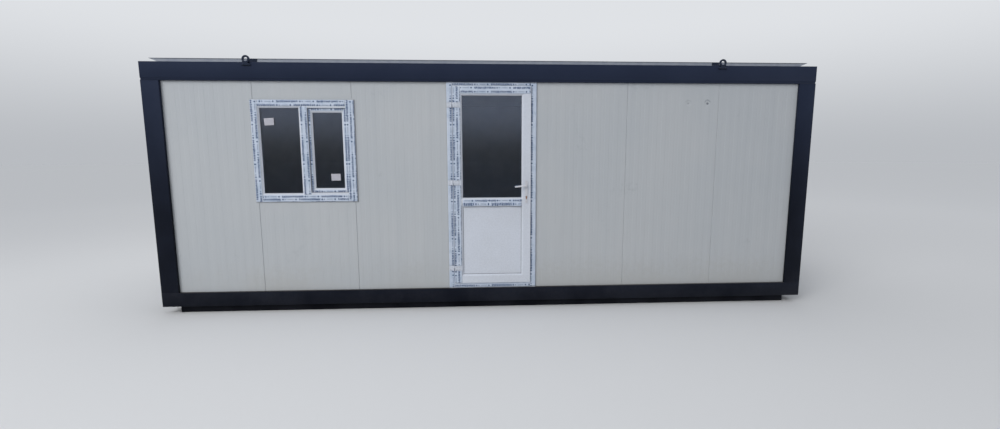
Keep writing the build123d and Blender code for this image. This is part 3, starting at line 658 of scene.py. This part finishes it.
def studio():
    """Even soft light before a backdrop that meets the floor's tone; the mirrored one is bluer."""
    world = bpy.data.worlds.new("studio")
    scene.world = world
    world.use_nodes = True
    w = Nodes(world.node_tree)

    def background(colour, strength=1.0):
        return w.put("Background", {"Color": (*colour, 1), "Strength": strength}).outputs[0]

    def mixed(factor, first, second):
        return w.put("MixShader", {0: factor, 1: first, 2: second}).outputs[0]

    # what is looked at through a pane counts as seen, but the light that a room gets through it doesn't
    paths = w.put("LightPath").outputs
    direct = w.sum("LESS_THAN", paths["Diffuse Depth"], 0.5)
    through = w.sum("MULTIPLY", paths["Is Transmission Ray"], direct)
    seen = w.sum("MAXIMUM", paths["Is Camera Ray"], through)
    height = w.axes(w.put("TexCoord").outputs["Generated"])[2]
    strength, rise, turn, spread = EVEN_LIGHT
    on_floor = strength * math.sin(math.radians(rise)) / math.pi
    horizon = [tone * (WORLD_LIGHT * tint + on_floor) for tone, tint in zip(FLOOR_FAR, LIGHT_TINT)]
    backdrop, mirrored = [
        mixed(w.ramp(height, 0.0, top), background(horizon), background(colour))
        for colour, top in (SEEN_BACKDROP, MIRRORED_BACKDROP)
    ]
    first = mixed(seen, background(LIGHT_TINT, WORLD_LIGHT), backdrop)
    w.put("OutputWorld", {"Surface": mixed(paths["Is Glossy Ray"], first, mirrored)})

    def hang(name, kind, energy, place, target):
        data = bpy.data.lights.new(name, kind)
        data.energy = energy
        data.color = LAMP_TINT
        lamp = bpy.data.objects.new(name, data)
        lamp.location = place
        lamp.rotation_euler = (Vector(target) - Vector(place)).to_track_quat("-Z", "Y").to_euler()
        lamp.visible_glossy = False
        lamp.visible_transmission = False
        scene.collection.objects.link(lamp)
        return data

    for name, place, target, size, beam, watts in LAMPS:
        lamp = hang(name, "AREA", watts, place, target)
        lamp.size = size
        lamp.spread = math.radians(beam)
    above = math.radians(rise)
    beside = math.radians(turn)
    toward = (-math.sin(beside) * math.cos(above), -math.cos(beside) * math.cos(above), math.sin(above))
    hang("even", "SUN", strength, toward, (0, 0, 0)).angle = math.radians(spread)


def stage_floor():
    """A plain round floor, a little paler far out, where the lamps don't reach."""
    s = Shader("stage_floor")
    reach = s.distance(*s.axes(s.place())[:2])
    tone = s.mix(s.ramp(reach, 4.0, 16.0), (*FLOOR_NEAR, 1), (*FLOOR_FAR, 1))
    material = s.surface(base_color=tone, roughness=0.9, specular_ior_level=0.0)
    bm = bmesh.new()
    rows = []
    for radius in FLOOR_RADII:
        points = ring((0, 0, 0), radius, (0, 0, 1), FLOOR_CORNERS)
        rows.append([bm.verts.new(point) for point in points])
    bm.faces.new(rows[0])
    for a, b in zip(rows, rows[1:]):
        for i in range(FLOOR_CORNERS):
            after = (i + 1) % FLOOR_CORNERS
            bm.faces.new((a[i], a[after], b[after], b[i]))
    bmesh.ops.recalc_face_normals(bm, faces=bm.faces)
    mesh = bpy.data.meshes.new("stage_floor")
    bm.to_mesh(mesh)
    bm.free()
    floor = bpy.data.objects.new("stage_floor", mesh)
    floor.location.z = -0.001
    mesh.materials.append(material)
    scene.collection.objects.link(floor)


camera_like_photo()
studio()
stage_floor()


# rounded edges, welds and roof screws

# radius of a weld on the frame and on a lug
FRAME_WELD = 0.0016
LUG_WELD = 0.0032
# a roofing screw's washer, head and height, and a pan head's radius and height
HEX_SCREW = (0.0085, 0.0046, 0.0048)
PAN_HEAD = (0.005, 0.0026)
# how far a screw may sit off a rib's middle, and keeps from a rib's foot
CREST_PLAY = 0.025
RIB_KEEP = 0.014
# the rows of screws along a batten and each end trim, and their distances from the edges
SCREW_ROWS = 5
BATTEN_MARGIN = 0.10
TRIM_MARGIN = 0.045
TRIM_PITCH = 0.42

for side in ("front", "rear", "left", "right"):
    rounded("base_beam_" + side, 0.0022, 2)
    rounded("roof_beam_" + side, 0.0018, 2)
for corner in ("front_left", "front_right", "rear_left", "rear_right"):
    rounded("corner_post_" + corner, 0.0018, 2)
rounded("skids", 0.006, 3)
rounded("hinge_frame_plates", 0.0012, 2)
rounded("hinge_leaf_plates", 0.0012, 2)
rounded("handle_plates", 0.0018, 3)
rounded("window_frame", 0.0012, 2)
rounded("window_sash", 0.0012, 2)


def frame_welds():
    """Welds across the faces of the posts, where they meet the beams."""
    bm = bmesh.new()
    rng = random.Random(11)
    for corner in ("front_left", "front_right", "rear_left", "rear_right"):
        low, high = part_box("corner_post_" + corner)
        face_y = low.y if "front" in corner else high.y
        face_x = low.x if "left" in corner else high.x
        for z in (low.z, high.z):
            weld_bead(bm, (low.x + 0.002, face_y, z), (high.x - 0.002, face_y, z), FRAME_WELD, rng)
            weld_bead(bm, (face_x, low.y + 0.002, z), (face_x, high.y - 0.002, z), FRAME_WELD, rng)
    finished("frame_welds", bm, "cabin", "frame_paint")


def lug_welds():
    """Fillet welds down both sides of each lug's foot and along under it."""
    foot, neck = LUG_FOOT / 2, LUG_NECK / 2
    outline = list(zip((foot, foot, neck, neck), LUG_TURNS))
    for side, outward in (("front", -1), ("rear", 1)):
        bm = bmesh.new()
        rng = random.Random(23 + outward)
        low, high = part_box("lifting_lugs_" + side)
        face_y = outward * beam_face
        for lug_x in (low.x + LUG_STRAP / 2, high.x - LUG_STRAP / 2):
            for hand in (-1, 1):
                points = [(lug_x + hand * x, face_y + outward * 0.001, low.z + z) for x, z in outline]
                for start, end in zip(points, points[1:]):
                    weld_bead(bm, start, end, LUG_WELD, rng)
            weld_bead(bm, (lug_x - foot, face_y, low.z), (lug_x + foot, face_y, low.z), LUG_WELD, rng)
        finished(f"lug_welds_{side}", bm, "cabin", "lug_steel")


def roof_screws():
    """Hexagon screws with washers in the sheet along the battens, and pan heads along the edge trims."""
    low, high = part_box("roof_sheet")
    pan_z, crest_z = low.z + 0.002, high.z
    count = round((high.x - low.x) / RIB_PITCH)
    step = (high.x - low.x) / count
    batten_low, batten_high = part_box("roof_battens")
    half = BATTEN_WIDTH / 2
    first, last = batten_low.x + half, batten_high.x - half
    bm = bmesh.new()
    for batten in range(BATTENS):
        batten_x = first + (last - first) * batten / (BATTENS - 1)
        from_rib = (batten_x - low.x) % step - step / 2
        if abs(from_rib) < RIB_CREST / 2 + RIB_SLOPE / 2:
            shift = max(-CREST_PLAY, min(CREST_PLAY, from_rib)) - from_rib
            z = crest_z
        else:
            pan_edge = RIB_CREST / 2 + RIB_SLOPE + RIB_KEEP
            shift = math.copysign(max(abs(from_rib), pan_edge), from_rib) - from_rib
            z = pan_z
        for row in range(SCREW_ROWS):
            y = low.y + BATTEN_MARGIN + (high.y - low.y - 2 * BATTEN_MARGIN) * row / (SCREW_ROWS - 1)
            hex_screw(bm, Vector((batten_x + shift, y, z)), *HEX_SCREW)
    finished("roof_screws", bm, "cabin", "roof_steel", zinc, gasket)
    bm = bmesh.new()
    trim_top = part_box("roof_edge_trim")[1].z
    for hand in (-1, 1):
        for rib in range(0, count, 2):
            x = low.x + (rib + 0.5) * step
            screw_head(bm, (x, hand * (high.y - TRIM_MARGIN), trim_top), (0, 0, 1), *PAN_HEAD)
        for row in range(SCREW_ROWS):
            y = (row - 2) * TRIM_PITCH
            screw_head(bm, (hand * (high.x - TRIM_MARGIN), y, trim_top), (0, 0, 1), *PAN_HEAD)
    finished("trim_screws", bm, "cabin", "roof_steel", zinc)


frame_welds()
lug_welds()
roof_screws()


# protective film

# the film's mesh along and across a strip, its waves, and what it leaves free at edges and feet
FILM_STEP = 0.012
FILM_COLUMN = 0.011
FILM_WAVES = 5
FILM_EDGE = 0.001
FILM_FOOT = 0.002


def film_sheet(bm, layer, span_x, span_z, face_y, upright, row, pitch, seed, hang=0.0):
    """One strip of film on a face that looks along -Y, slightly creased, its ends cut unevenly."""
    rng = random.Random(seed)
    length_axis = span_z if upright else span_x
    width_axis = span_x if upright else span_z
    length = length_axis[1] - length_axis[0]
    width = width_axis[1] - width_axis[0]
    rows = max(3, round(length / FILM_STEP))
    columns = max(3, round(width / FILM_COLUMN))
    waves = [
        (rng.uniform(18, 60), rng.uniform(-25, 25), rng.uniform(0, 6.28), rng.uniform(0.4, 1.0))
        for _ in range(FILM_WAVES)
    ]
    lifts = [
        (rng.uniform(0, 1), rng.uniform(0.02, 0.06), rng.choice((0, 1)), rng.uniform(0.001, 0.0035))
        for _ in range(max(1, int(length / 0.45)))
    ]
    ends = [[rng.uniform(0, 0.006) for _ in range(columns + 1)] for _ in range(2)]
    edge_drift = [rng.uniform(0, 6.28) for _ in range(2)]
    grid = []
    for i in range(rows + 1):
        line = []
        for j in range(columns + 1):
            share = j / columns
            run = i / rows
            cut_low, cut_high = ends[0][j], ends[1][j]
            along = length_axis[0] + cut_low + (length - cut_low - cut_high) * run
            drift = 0.0012 * math.sin(along * 9 + edge_drift[0]) * (1 - share)
            drift -= 0.0012 * (1 + math.sin(along * 7 + edge_drift[1])) / 2 * share
            across = width_axis[0] + width * share + max(0.0, drift) * (1 if share < 0.5 else -1)
            crease = sum(a * math.sin(k * along + m * across + p) for k, m, p, a in waves) / FILM_WAVES
            out = 0.0004 + 0.0007 * max(0.0, crease)
            for centre, reach, edge, amount in lifts:
                near = math.exp(-(((run - centre) * length) / reach) ** 2)
                out += amount * near * max(0.0, (share if edge else 1 - share) - 0.55) / 0.45
            loose = max(0.0, 1 - share / 0.3) if hang else 0.0
            out += 0.004 * loose * (1 + 0.4 * math.sin(along * 31))
            drop = hang * loose * (1 + 0.35 * math.sin(along * 23 + 1.3))
            x, z = (across, along) if upright else (along, across - drop)
            vert = bm.verts.new((x, face_y - out, z))
            vert[layer] = Vector((along, (across - row) / pitch, pitch))
            line.append(vert)
        grid.append(line)
    for a, b in zip(grid, grid[1:]):
        for j in range(columns):
            bm.faces.new((a[j], a[j + 1], b[j + 1], b[j])).smooth = True


def film_piece(name, body, strips):
    """A piece of film; each of its strips gives what film_sheet takes from span_x to pitch, and hang."""
    bm = bmesh.new()
    layer = bm.verts.layers.float_vector.new("strip")
    for number, strip in enumerate(strips):
        film_sheet(bm, layer, *strip[:6], seed=sum(map(ord, name)) + number, hang=(strip + (0.0,))[6])
    piece = finished(name, bm, body, "protective_film")
    thick = piece.modifiers.new("thickness", "SOLIDIFY")
    thick.thickness = 0.00015
    thick.offset = 0.0


# window frame and sash faces
wx0, wx1, wz0, wz1 = window_low.x, window_high.x, window_low.z, window_high.z
frame_x = (wx0 + FILM_EDGE, wx1 - FILM_EDGE)
frame_z = (wz0 + FILM_EDGE, wz1 - FILM_EDGE)
frame_y = window_low.y
sash_low, sash_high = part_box("window_sash")
sash_y = sash_low.y
sash_x = (sash_low.x + SASH_COVERED, sash_high.x - SASH_COVERED)
sash_z = (sash_low.z + SASH_COVERED, sash_high.z - SASH_COVERED)
fixed_x = (wx0 + FIXED_FROM_LEFT[0], wx0 + FIXED_FROM_LEFT[1])
fixed_z = (wz0 + FIXED_FROM_FOOT, wz1 - FIXED_FROM_HEAD)
sash_glass_x = (sash_x[0] + SASH_PROFILE, sash_x[1] - SASH_PROFILE)
sash_glass_z = (sash_z[0] + SASH_PROFILE, sash_z[1] - SASH_PROFILE)
fixed_bead_x, fixed_bead_z = grown(fixed_x, BEAD), grown(fixed_z, BEAD)
sash_bead_x, sash_bead_z = grown(sash_glass_x, BEAD), grown(sash_glass_z, BEAD)

film_piece("window_frame_film", "cabin", [
    ((frame_x[0], fixed_bead_x[0]), frame_z, frame_y, True, wx0 + 0.013, 0.037),
    ((sash_x[1], frame_x[1]), frame_z, frame_y, True, sash_x[1] + 0.016, 0.035),
    ((fixed_bead_x[0], sash_x[1]), (fixed_bead_z[1], frame_z[1]), frame_y, False, wz1 - 0.055, 0.037),
    ((fixed_bead_x[0], sash_x[1]), (frame_z[0], fixed_bead_z[0]), frame_y, False, wz0 + 0.026, 0.030),
    ((fixed_bead_x[1], sash_x[0]), fixed_bead_z, frame_y, True, fixed_x[1] + 0.029, 0.045),
])
film_piece("window_sash_film", "cabin", [
    ((sash_x[0], sash_bead_x[0]), sash_z, sash_y, True, sash_x[0] + 0.014, 0.060),
    ((sash_bead_x[1], sash_x[1]), sash_z, sash_y, True, sash_x[1] - 0.013, 0.060),
    (sash_bead_x, (sash_bead_z[1], sash_z[1]), sash_y, False, sash_z[1] - 0.012, 0.060),
    (sash_bead_x, (sash_z[0], sash_bead_z[0]), sash_y, False, sash_z[0] + 0.013, 0.060),
])

# door frame and leaf faces
dx0, dx1 = jamb_left[0].x, jamb_right[1].x
door_y = jamb_left[0].y
leaf_y = leaf_low.y
light_x = (leaf_x[0] + LEAF_PROFILE, leaf_x[1] - LEAF_PROFILE)
light_z = (LIGHT_FOOT, leaf_z[1] - LEAF_PROFILE)
infill_z = (leaf_z[0] + LEAF_PROFILE, INFILL_TOP)
hinge_z = [leaf_z[0] + height for height in HINGES_FROM_FOOT] + [leaf_z[1] - HINGE_FROM_HEAD]
around_x = grown(leaf_x, FILM_EDGE)
door_z = (sill_box[0].z + FILM_FOOT, head_box[1].z - FILM_EDGE)
inner_z = grown(leaf_z, -FILM_FOOT)


def between_hinges(low, high):
    """The stretches of an upright that the hinges leave free."""
    cuts = [low] + [z + s * HINGE_HALF for z in hinge_z for s in (-1, 1)] + [high]
    return list(zip(cuts[::2], cuts[1::2]))


film_piece("door_frame_film", "cabin", [
    *[
        ((dx0 + FILM_EDGE, around_x[0]), span, door_y, True, dx0 + 0.041, 0.060)
        for span in between_hinges(*door_z)
    ],
    ((around_x[1], dx1 - FILM_EDGE), door_z, door_y, True, leaf_x[1] + 0.013, 0.060),
    (around_x, (leaf_z[1] + FILM_EDGE, door_z[1]), door_y, False, leaf_z[1] + 0.017, 0.060),
    (around_x, (door_z[0], leaf_z[0] - FILM_FOOT), door_y, False, sill_box[0].z + 0.022, 0.060),
])
bead_x = grown(light_x, BEAD)
film_piece("door_leaf_film", "door", [
    *[
        ((leaf_x[0] + FILM_EDGE, bead_x[0]), span, leaf_y, True, leaf_x[0] + 0.011, 0.036)
        for span in between_hinges(*inner_z)
    ],
    (
        (bead_x[0], leaf_x[1] - FILM_EDGE), (light_z[1] + BEAD, inner_z[1]), leaf_y, False,
        leaf_z[1] - 0.060, 0.040,
    ),
    (
        grown(light_x, BEAD * 0.2), (infill_z[1] + BEAD, light_z[0] - BEAD), leaf_y, False,
        infill_z[1] + BEAD + 0.014, 0.034, 0.010,
    ),
])


# glass seals, spacer bars, lips and sealant

def gasket_section(glass_y, outward):
    """A thin lip that lies on the glass along the edge of its opening."""
    return [
        (0, glass_y + outward * 0.0034), (0.0028, glass_y + outward * 0.0016),
        (0.0030, glass_y + outward * 0.0001), (0, glass_y + outward * 0.0001),
    ]


def spacer_section(front):
    """The metal spacer bar between the two sheets of a sealed unit, just inside the gasket."""
    near, far = front + 0.004, front + GLASS_UNIT - 0.004
    return [(-0.009, near), (0.0042, near), (0.0042, far), (-0.009, far)]


fixed_front = wall_face + FIXED_PANE_DEPTH
sash_front = wall_face + SASH_PANE_DEPTH
door_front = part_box("door_glass")[0].y

bm = bmesh.new()
for x, z, front in ((fixed_x, fixed_z, fixed_front), (sash_glass_x, sash_glass_z, sash_front)):
    frame_strip(bm, x, z, gasket_section(front, -1))
    frame_strip(bm, x, z, gasket_section(front + GLASS_UNIT, 1))
lip = [
    (0, wall_face - 0.0030), (0.0032, wall_face - 0.0014),
    (0.0034, wall_face - 0.0002), (0, wall_face - 0.0002),
]
frame_strip(bm, sash_x, sash_z, lip)
finished("window_gaskets", bm, "cabin", "white_profile", gasket)

bm = bmesh.new()
for z in (light_z, infill_z):
    frame_strip(bm, light_x, z, gasket_section(door_front, -1))
    frame_strip(bm, light_x, z, gasket_section(door_front + GLASS_UNIT, 1))
finished("door_gaskets", bm, "door", "white_profile", gasket)

bm = bmesh.new()
lip_back = door_y - 0.005
lip = [(0.002, lip_back), (0.009, lip_back), (0.0075, lip_back + 0.003), (0.005, lip_back + 0.0045)]
frame_strip(bm, leaf_x, leaf_z, lip)
finished("door_lip_seal", bm, "door", "white_profile", gasket)

bm = bmesh.new()
frame_strip(bm, fixed_x, fixed_z, spacer_section(fixed_front))
frame_strip(bm, sash_glass_x, sash_glass_z, spacer_section(sash_front))
finished("window_spacer_bars", bm, "cabin", "spindle_steel", zinc)
bm = bmesh.new()
frame_strip(bm, light_x, light_z, spacer_section(door_front))
finished("door_spacer_bar", bm, "door", "spindle_steel", zinc)

sealant = [
    (0.001, wall_face + 0.002), (-0.006, wall_face + 0.002),
    (-0.0048, wall_face - 0.0012), (0.001, wall_face - 0.005),
]
bm = bmesh.new()
frame_strip(bm, (wx0, wx1), (wz0, wz1), sealant)
frame_strip(bm, (dx0, dx1), (sill_box[0].z, head_box[1].z - 0.006), sealant, open_below=True)
finished("sealant_beads", bm, "cabin", "panel_coat", seal_grey)

bm = bmesh.new()
glazed_z = (infill_z[0], light_z[1])
bead_z = grown(glazed_z, BEAD)
rim_x = grown(leaf_x, -LEAF_BACK_RIM)
rim_z = grown(leaf_z, -LEAF_BACK_RIM)
for i in (0, 1):
    for j in (0, 1):
        seam(bm, (leaf_x[i], leaf_z[j]), (bead_x[i], bead_z[j]), leaf_y, -1)
        seam(bm, (rim_x[i], rim_z[j]), (light_x[i], glazed_z[j]), leaf_high.y, 1)
finished("door_leaf_seams", bm, "door", "white_profile", seam_grey)


# hinges: caps and screws

# a screw's radius and height, its step from the hinge's middle, and its places from the leaf's edge
HINGE_SCREW = (0.0042, 0.0016)
SCREW_STEP = 0.013
PLATE_THICKNESS = 0.006
FRAME_SCREW = -0.046
LEAF_SCREWS = (0.024, 0.050)

axis_x = leaf_low.x + HINGE_AXIS[0]
axis_y = leaf_low.y + HINGE_AXIS[1]
cap = [(0.008, 0), (0.0079, 0.0010), (0.0066, 0.0024), (0.0036, 0.0031)]
frame_bm, leaf_bm = bmesh.new(), bmesh.new()
for z in hinge_z:
    turned(frame_bm, (axis_x, axis_y, z - HINGE_HALF), (0, 0, -1), cap, 20)
    turned(leaf_bm, (axis_x, axis_y, z + HINGE_HALF), (0, 0, 1), cap, 20)
    for height in (z - SCREW_STEP, z + SCREW_STEP):
        place = (leaf_low.x + FRAME_SCREW, door_y - PLATE_THICKNESS, height)
        screw_head(frame_bm, place, (0, -1, 0), *HINGE_SCREW, 1)
        for along in LEAF_SCREWS:
            place = (leaf_low.x + along, leaf_y - PLATE_THICKNESS, height)
            screw_head(leaf_bm, place, (0, -1, 0), *HINGE_SCREW, 1)
finished("hinge_frame_fittings", frame_bm, "cabin", "hinge_white", looks["hinge_white"], zinc)
finished("hinge_leaf_fittings", leaf_bm, "door", "hinge_white", looks["hinge_white"], zinc)


# door furniture: levers, collars, screws and the key's plug

spindle_low, spindle_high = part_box("handle_spindle")
spindle = ((spindle_low.x + spindle_high.x) / 2, (spindle_low.z + spindle_high.z) / 2)
LEVER_BEND = 0.012
LEVER_NECK = 0.030
LEVER_TIP = 0.126
LEVER_DROOP = 0.012
# the neck's distance from the leaf and its radius, and the share of the grip before its rounded tip
NECK_RINGS = ((0.001, 0.0094), (0.007, 0.0094), (0.010, 0.0086), (0.022, 0.0084), (LEVER_NECK, 0.0088))
TIP_START = 0.93
# a plate's screws: distance from its ends, radius and height
PLATE_MARGIN = 0.011
PLATE_SCREW = (0.0038, 0.0010)
# the key plug's edge and face, and half the width and height of its slot
PLUG_RADII = (0.0065, 0.0062)
SLOT_HALF = (0.0009, 0.0042)


def oval(centre, tangent, half_height, half_depth, power, count=24):
    """A rounded section across the lever's line."""
    tangent = Vector(tangent).normalized()
    up = (Vector((0, 0, 1)) - tangent * tangent.z).normalized()
    side = tangent.cross(up)
    points = []
    for i in range(count):
        angle = 2 * math.pi * i / count
        c, s = math.cos(angle), math.sin(angle)
        u = math.copysign(abs(c) ** (2 / power), c) * half_height
        v = math.copysign(abs(s) ** (2 / power), s) * half_depth
        points.append(Vector(centre) + up * u + side * v)
    return points


def lever_piece(node, root, outward):
    """A smooth lever: a turned neck, a bend and a flattened grip that droops to a rounded tip."""
    x, z = spindle
    rings = []
    for reach, radius in NECK_RINGS:
        rings.append(oval((x, root + outward * reach, z), (0, outward, 0), radius, radius, 2))
    for step in range(1, 7):
        share = step / 6
        angle = share * math.pi / 2
        place = (
            x - LEVER_BEND * (1 - math.cos(angle)),
            root + outward * (LEVER_NECK + LEVER_BEND * math.sin(angle)),
            z,
        )
        tangent = (-math.sin(angle), outward * math.cos(angle), 0)
        rings.append(oval(place, tangent, 0.0088 + 0.0018 * share, 0.0088 - 0.0030 * share, 2 + 0.8 * share))
    grip = LEVER_TIP - LEVER_BEND
    depth = root + outward * (LEVER_NECK + LEVER_BEND)
    for step in range(1, 13):
        share = step / 12 * TIP_START
        down = LEVER_DROOP * share ** 1.4
        tangent = (-1, 0, -LEVER_DROOP / grip * 1.4 * share ** 0.4)
        place = (x - LEVER_BEND - grip * share, depth, z - down)
        rings.append(oval(place, tangent, 0.0106 - 0.0026 * share, 0.0058 - 0.0006 * share, 2.8))
    for angle in (25, 45, 62, 76, 86):
        share = TIP_START + (1 - TIP_START) * math.sin(math.radians(angle))
        shrink = math.cos(math.radians(angle))
        place = (x - LEVER_BEND - grip * share, depth, z - LEVER_DROOP * share ** 1.4)
        rings.append(oval(place, (-1, 0, -0.14), 0.0081 * shrink, 0.0052 * shrink, 2.4))
    bm = bmesh.new()
    loft(bm, rings)
    piece = finished(node + "_formed", bm, "door_handle", "handle_white")
    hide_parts(node)


lever_piece("handle_lever_outside", leaf_low.y, -1)
lever_piece("handle_lever_inside", leaf_high.y, 1)

lock_low, lock_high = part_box("lock_cylinder")
lock_z = lock_high.z - LOCK_RADIUS
collar = [(0.0098, 0), (0.0128, 0), (0.0128, 0.0010), (0.0117, 0.0022), (0.0098, 0.0022)]
bm = bmesh.new()
key_bm = bmesh.new()
for face_y, lock_y, outward in ((plate_low.y, lock_low.y, -1), (plate_high.y, lock_high.y, 1)):
    turned(bm, (spindle[0], face_y, spindle[1]), (0, outward, 0), collar, 28, wrap=True)
    for z in (plate_low.z + PLATE_MARGIN, plate_high.z - PLATE_MARGIN):
        screw_head(bm, (spindle[0], face_y, z), (0, outward, 0), *PLATE_SCREW, 1)
    plug = ring((spindle[0], lock_y + outward * 0.0005, lock_z), PLUG_RADII[1], (0, 1, 0), 16)
    base = ring((spindle[0], lock_y, lock_z), PLUG_RADII[0], (0, 1, 0), 16)
    slot_rings = []
    for depth in (0.0005, -0.0012):
        points = []
        for point in plug:
            dx, dz = point.x - spindle[0], point.z - lock_z
            scale = min(SLOT_HALF[0] / max(abs(dx), 1e-6), SLOT_HALF[1] / max(abs(dz), 1e-6))
            points.append(Vector((spindle[0] + dx * scale, lock_y + outward * depth, lock_z + dz * scale)))
        slot_rings.append(points)
    loft(key_bm, [base, plug, *slot_rings], smooth=False)
finished("handle_plate_fittings", bm, "door", "handle_white", looks["handle_white"], zinc)
finished("key_plugs", key_bm, "door", "lock_brass")


# blank stickers on the panes

# quads across a label and up it
LABEL_ACROSS = 12
LABEL_UP = 10


def sticker(bm, centre, size, tilt, y, curl):
    """A thin paper label, its lower right corner lifting off the glass."""
    turn = Matrix.Rotation(math.radians(tilt), 2)
    grid = []
    for i in range(LABEL_ACROSS + 1):
        line = []
        for j in range(LABEL_UP + 1):
            u, v = i / LABEL_ACROSS - 0.5, j / LABEL_UP - 0.5
            lift = curl * max(0.0, u - v - 0.45) ** 1.5
            ripple = 0.00015 * math.sin(9 * u + 4 * v)
            place = turn @ Vector((u * size[0], v * size[1]))
            line.append(bm.verts.new((centre[0] + place.x, y - 0.0004 - ripple - lift, centre[1] + place.y)))
        grid.append(line)
    for a, b in zip(grid, grid[1:]):
        for j in range(LABEL_UP):
            bm.faces.new((a[j], b[j], b[j + 1], a[j + 1])).smooth = True


bm = bmesh.new()
sticker(bm, (fixed_x[0] + 0.088, fixed_z[1] - 0.139), (0.100, 0.074), 4, fixed_front, 0.02)
sticker(bm, (sash_glass_x[1] - 0.089, sash_glass_z[0] + 0.114), (0.098, 0.072), 1, sash_front, 0.01)
labels = finished("blank_labels", bm, "cabin", "clear_glass", label_paper)
labels.modifiers.new("thickness", "SOLIDIFY").thickness = 0.0002
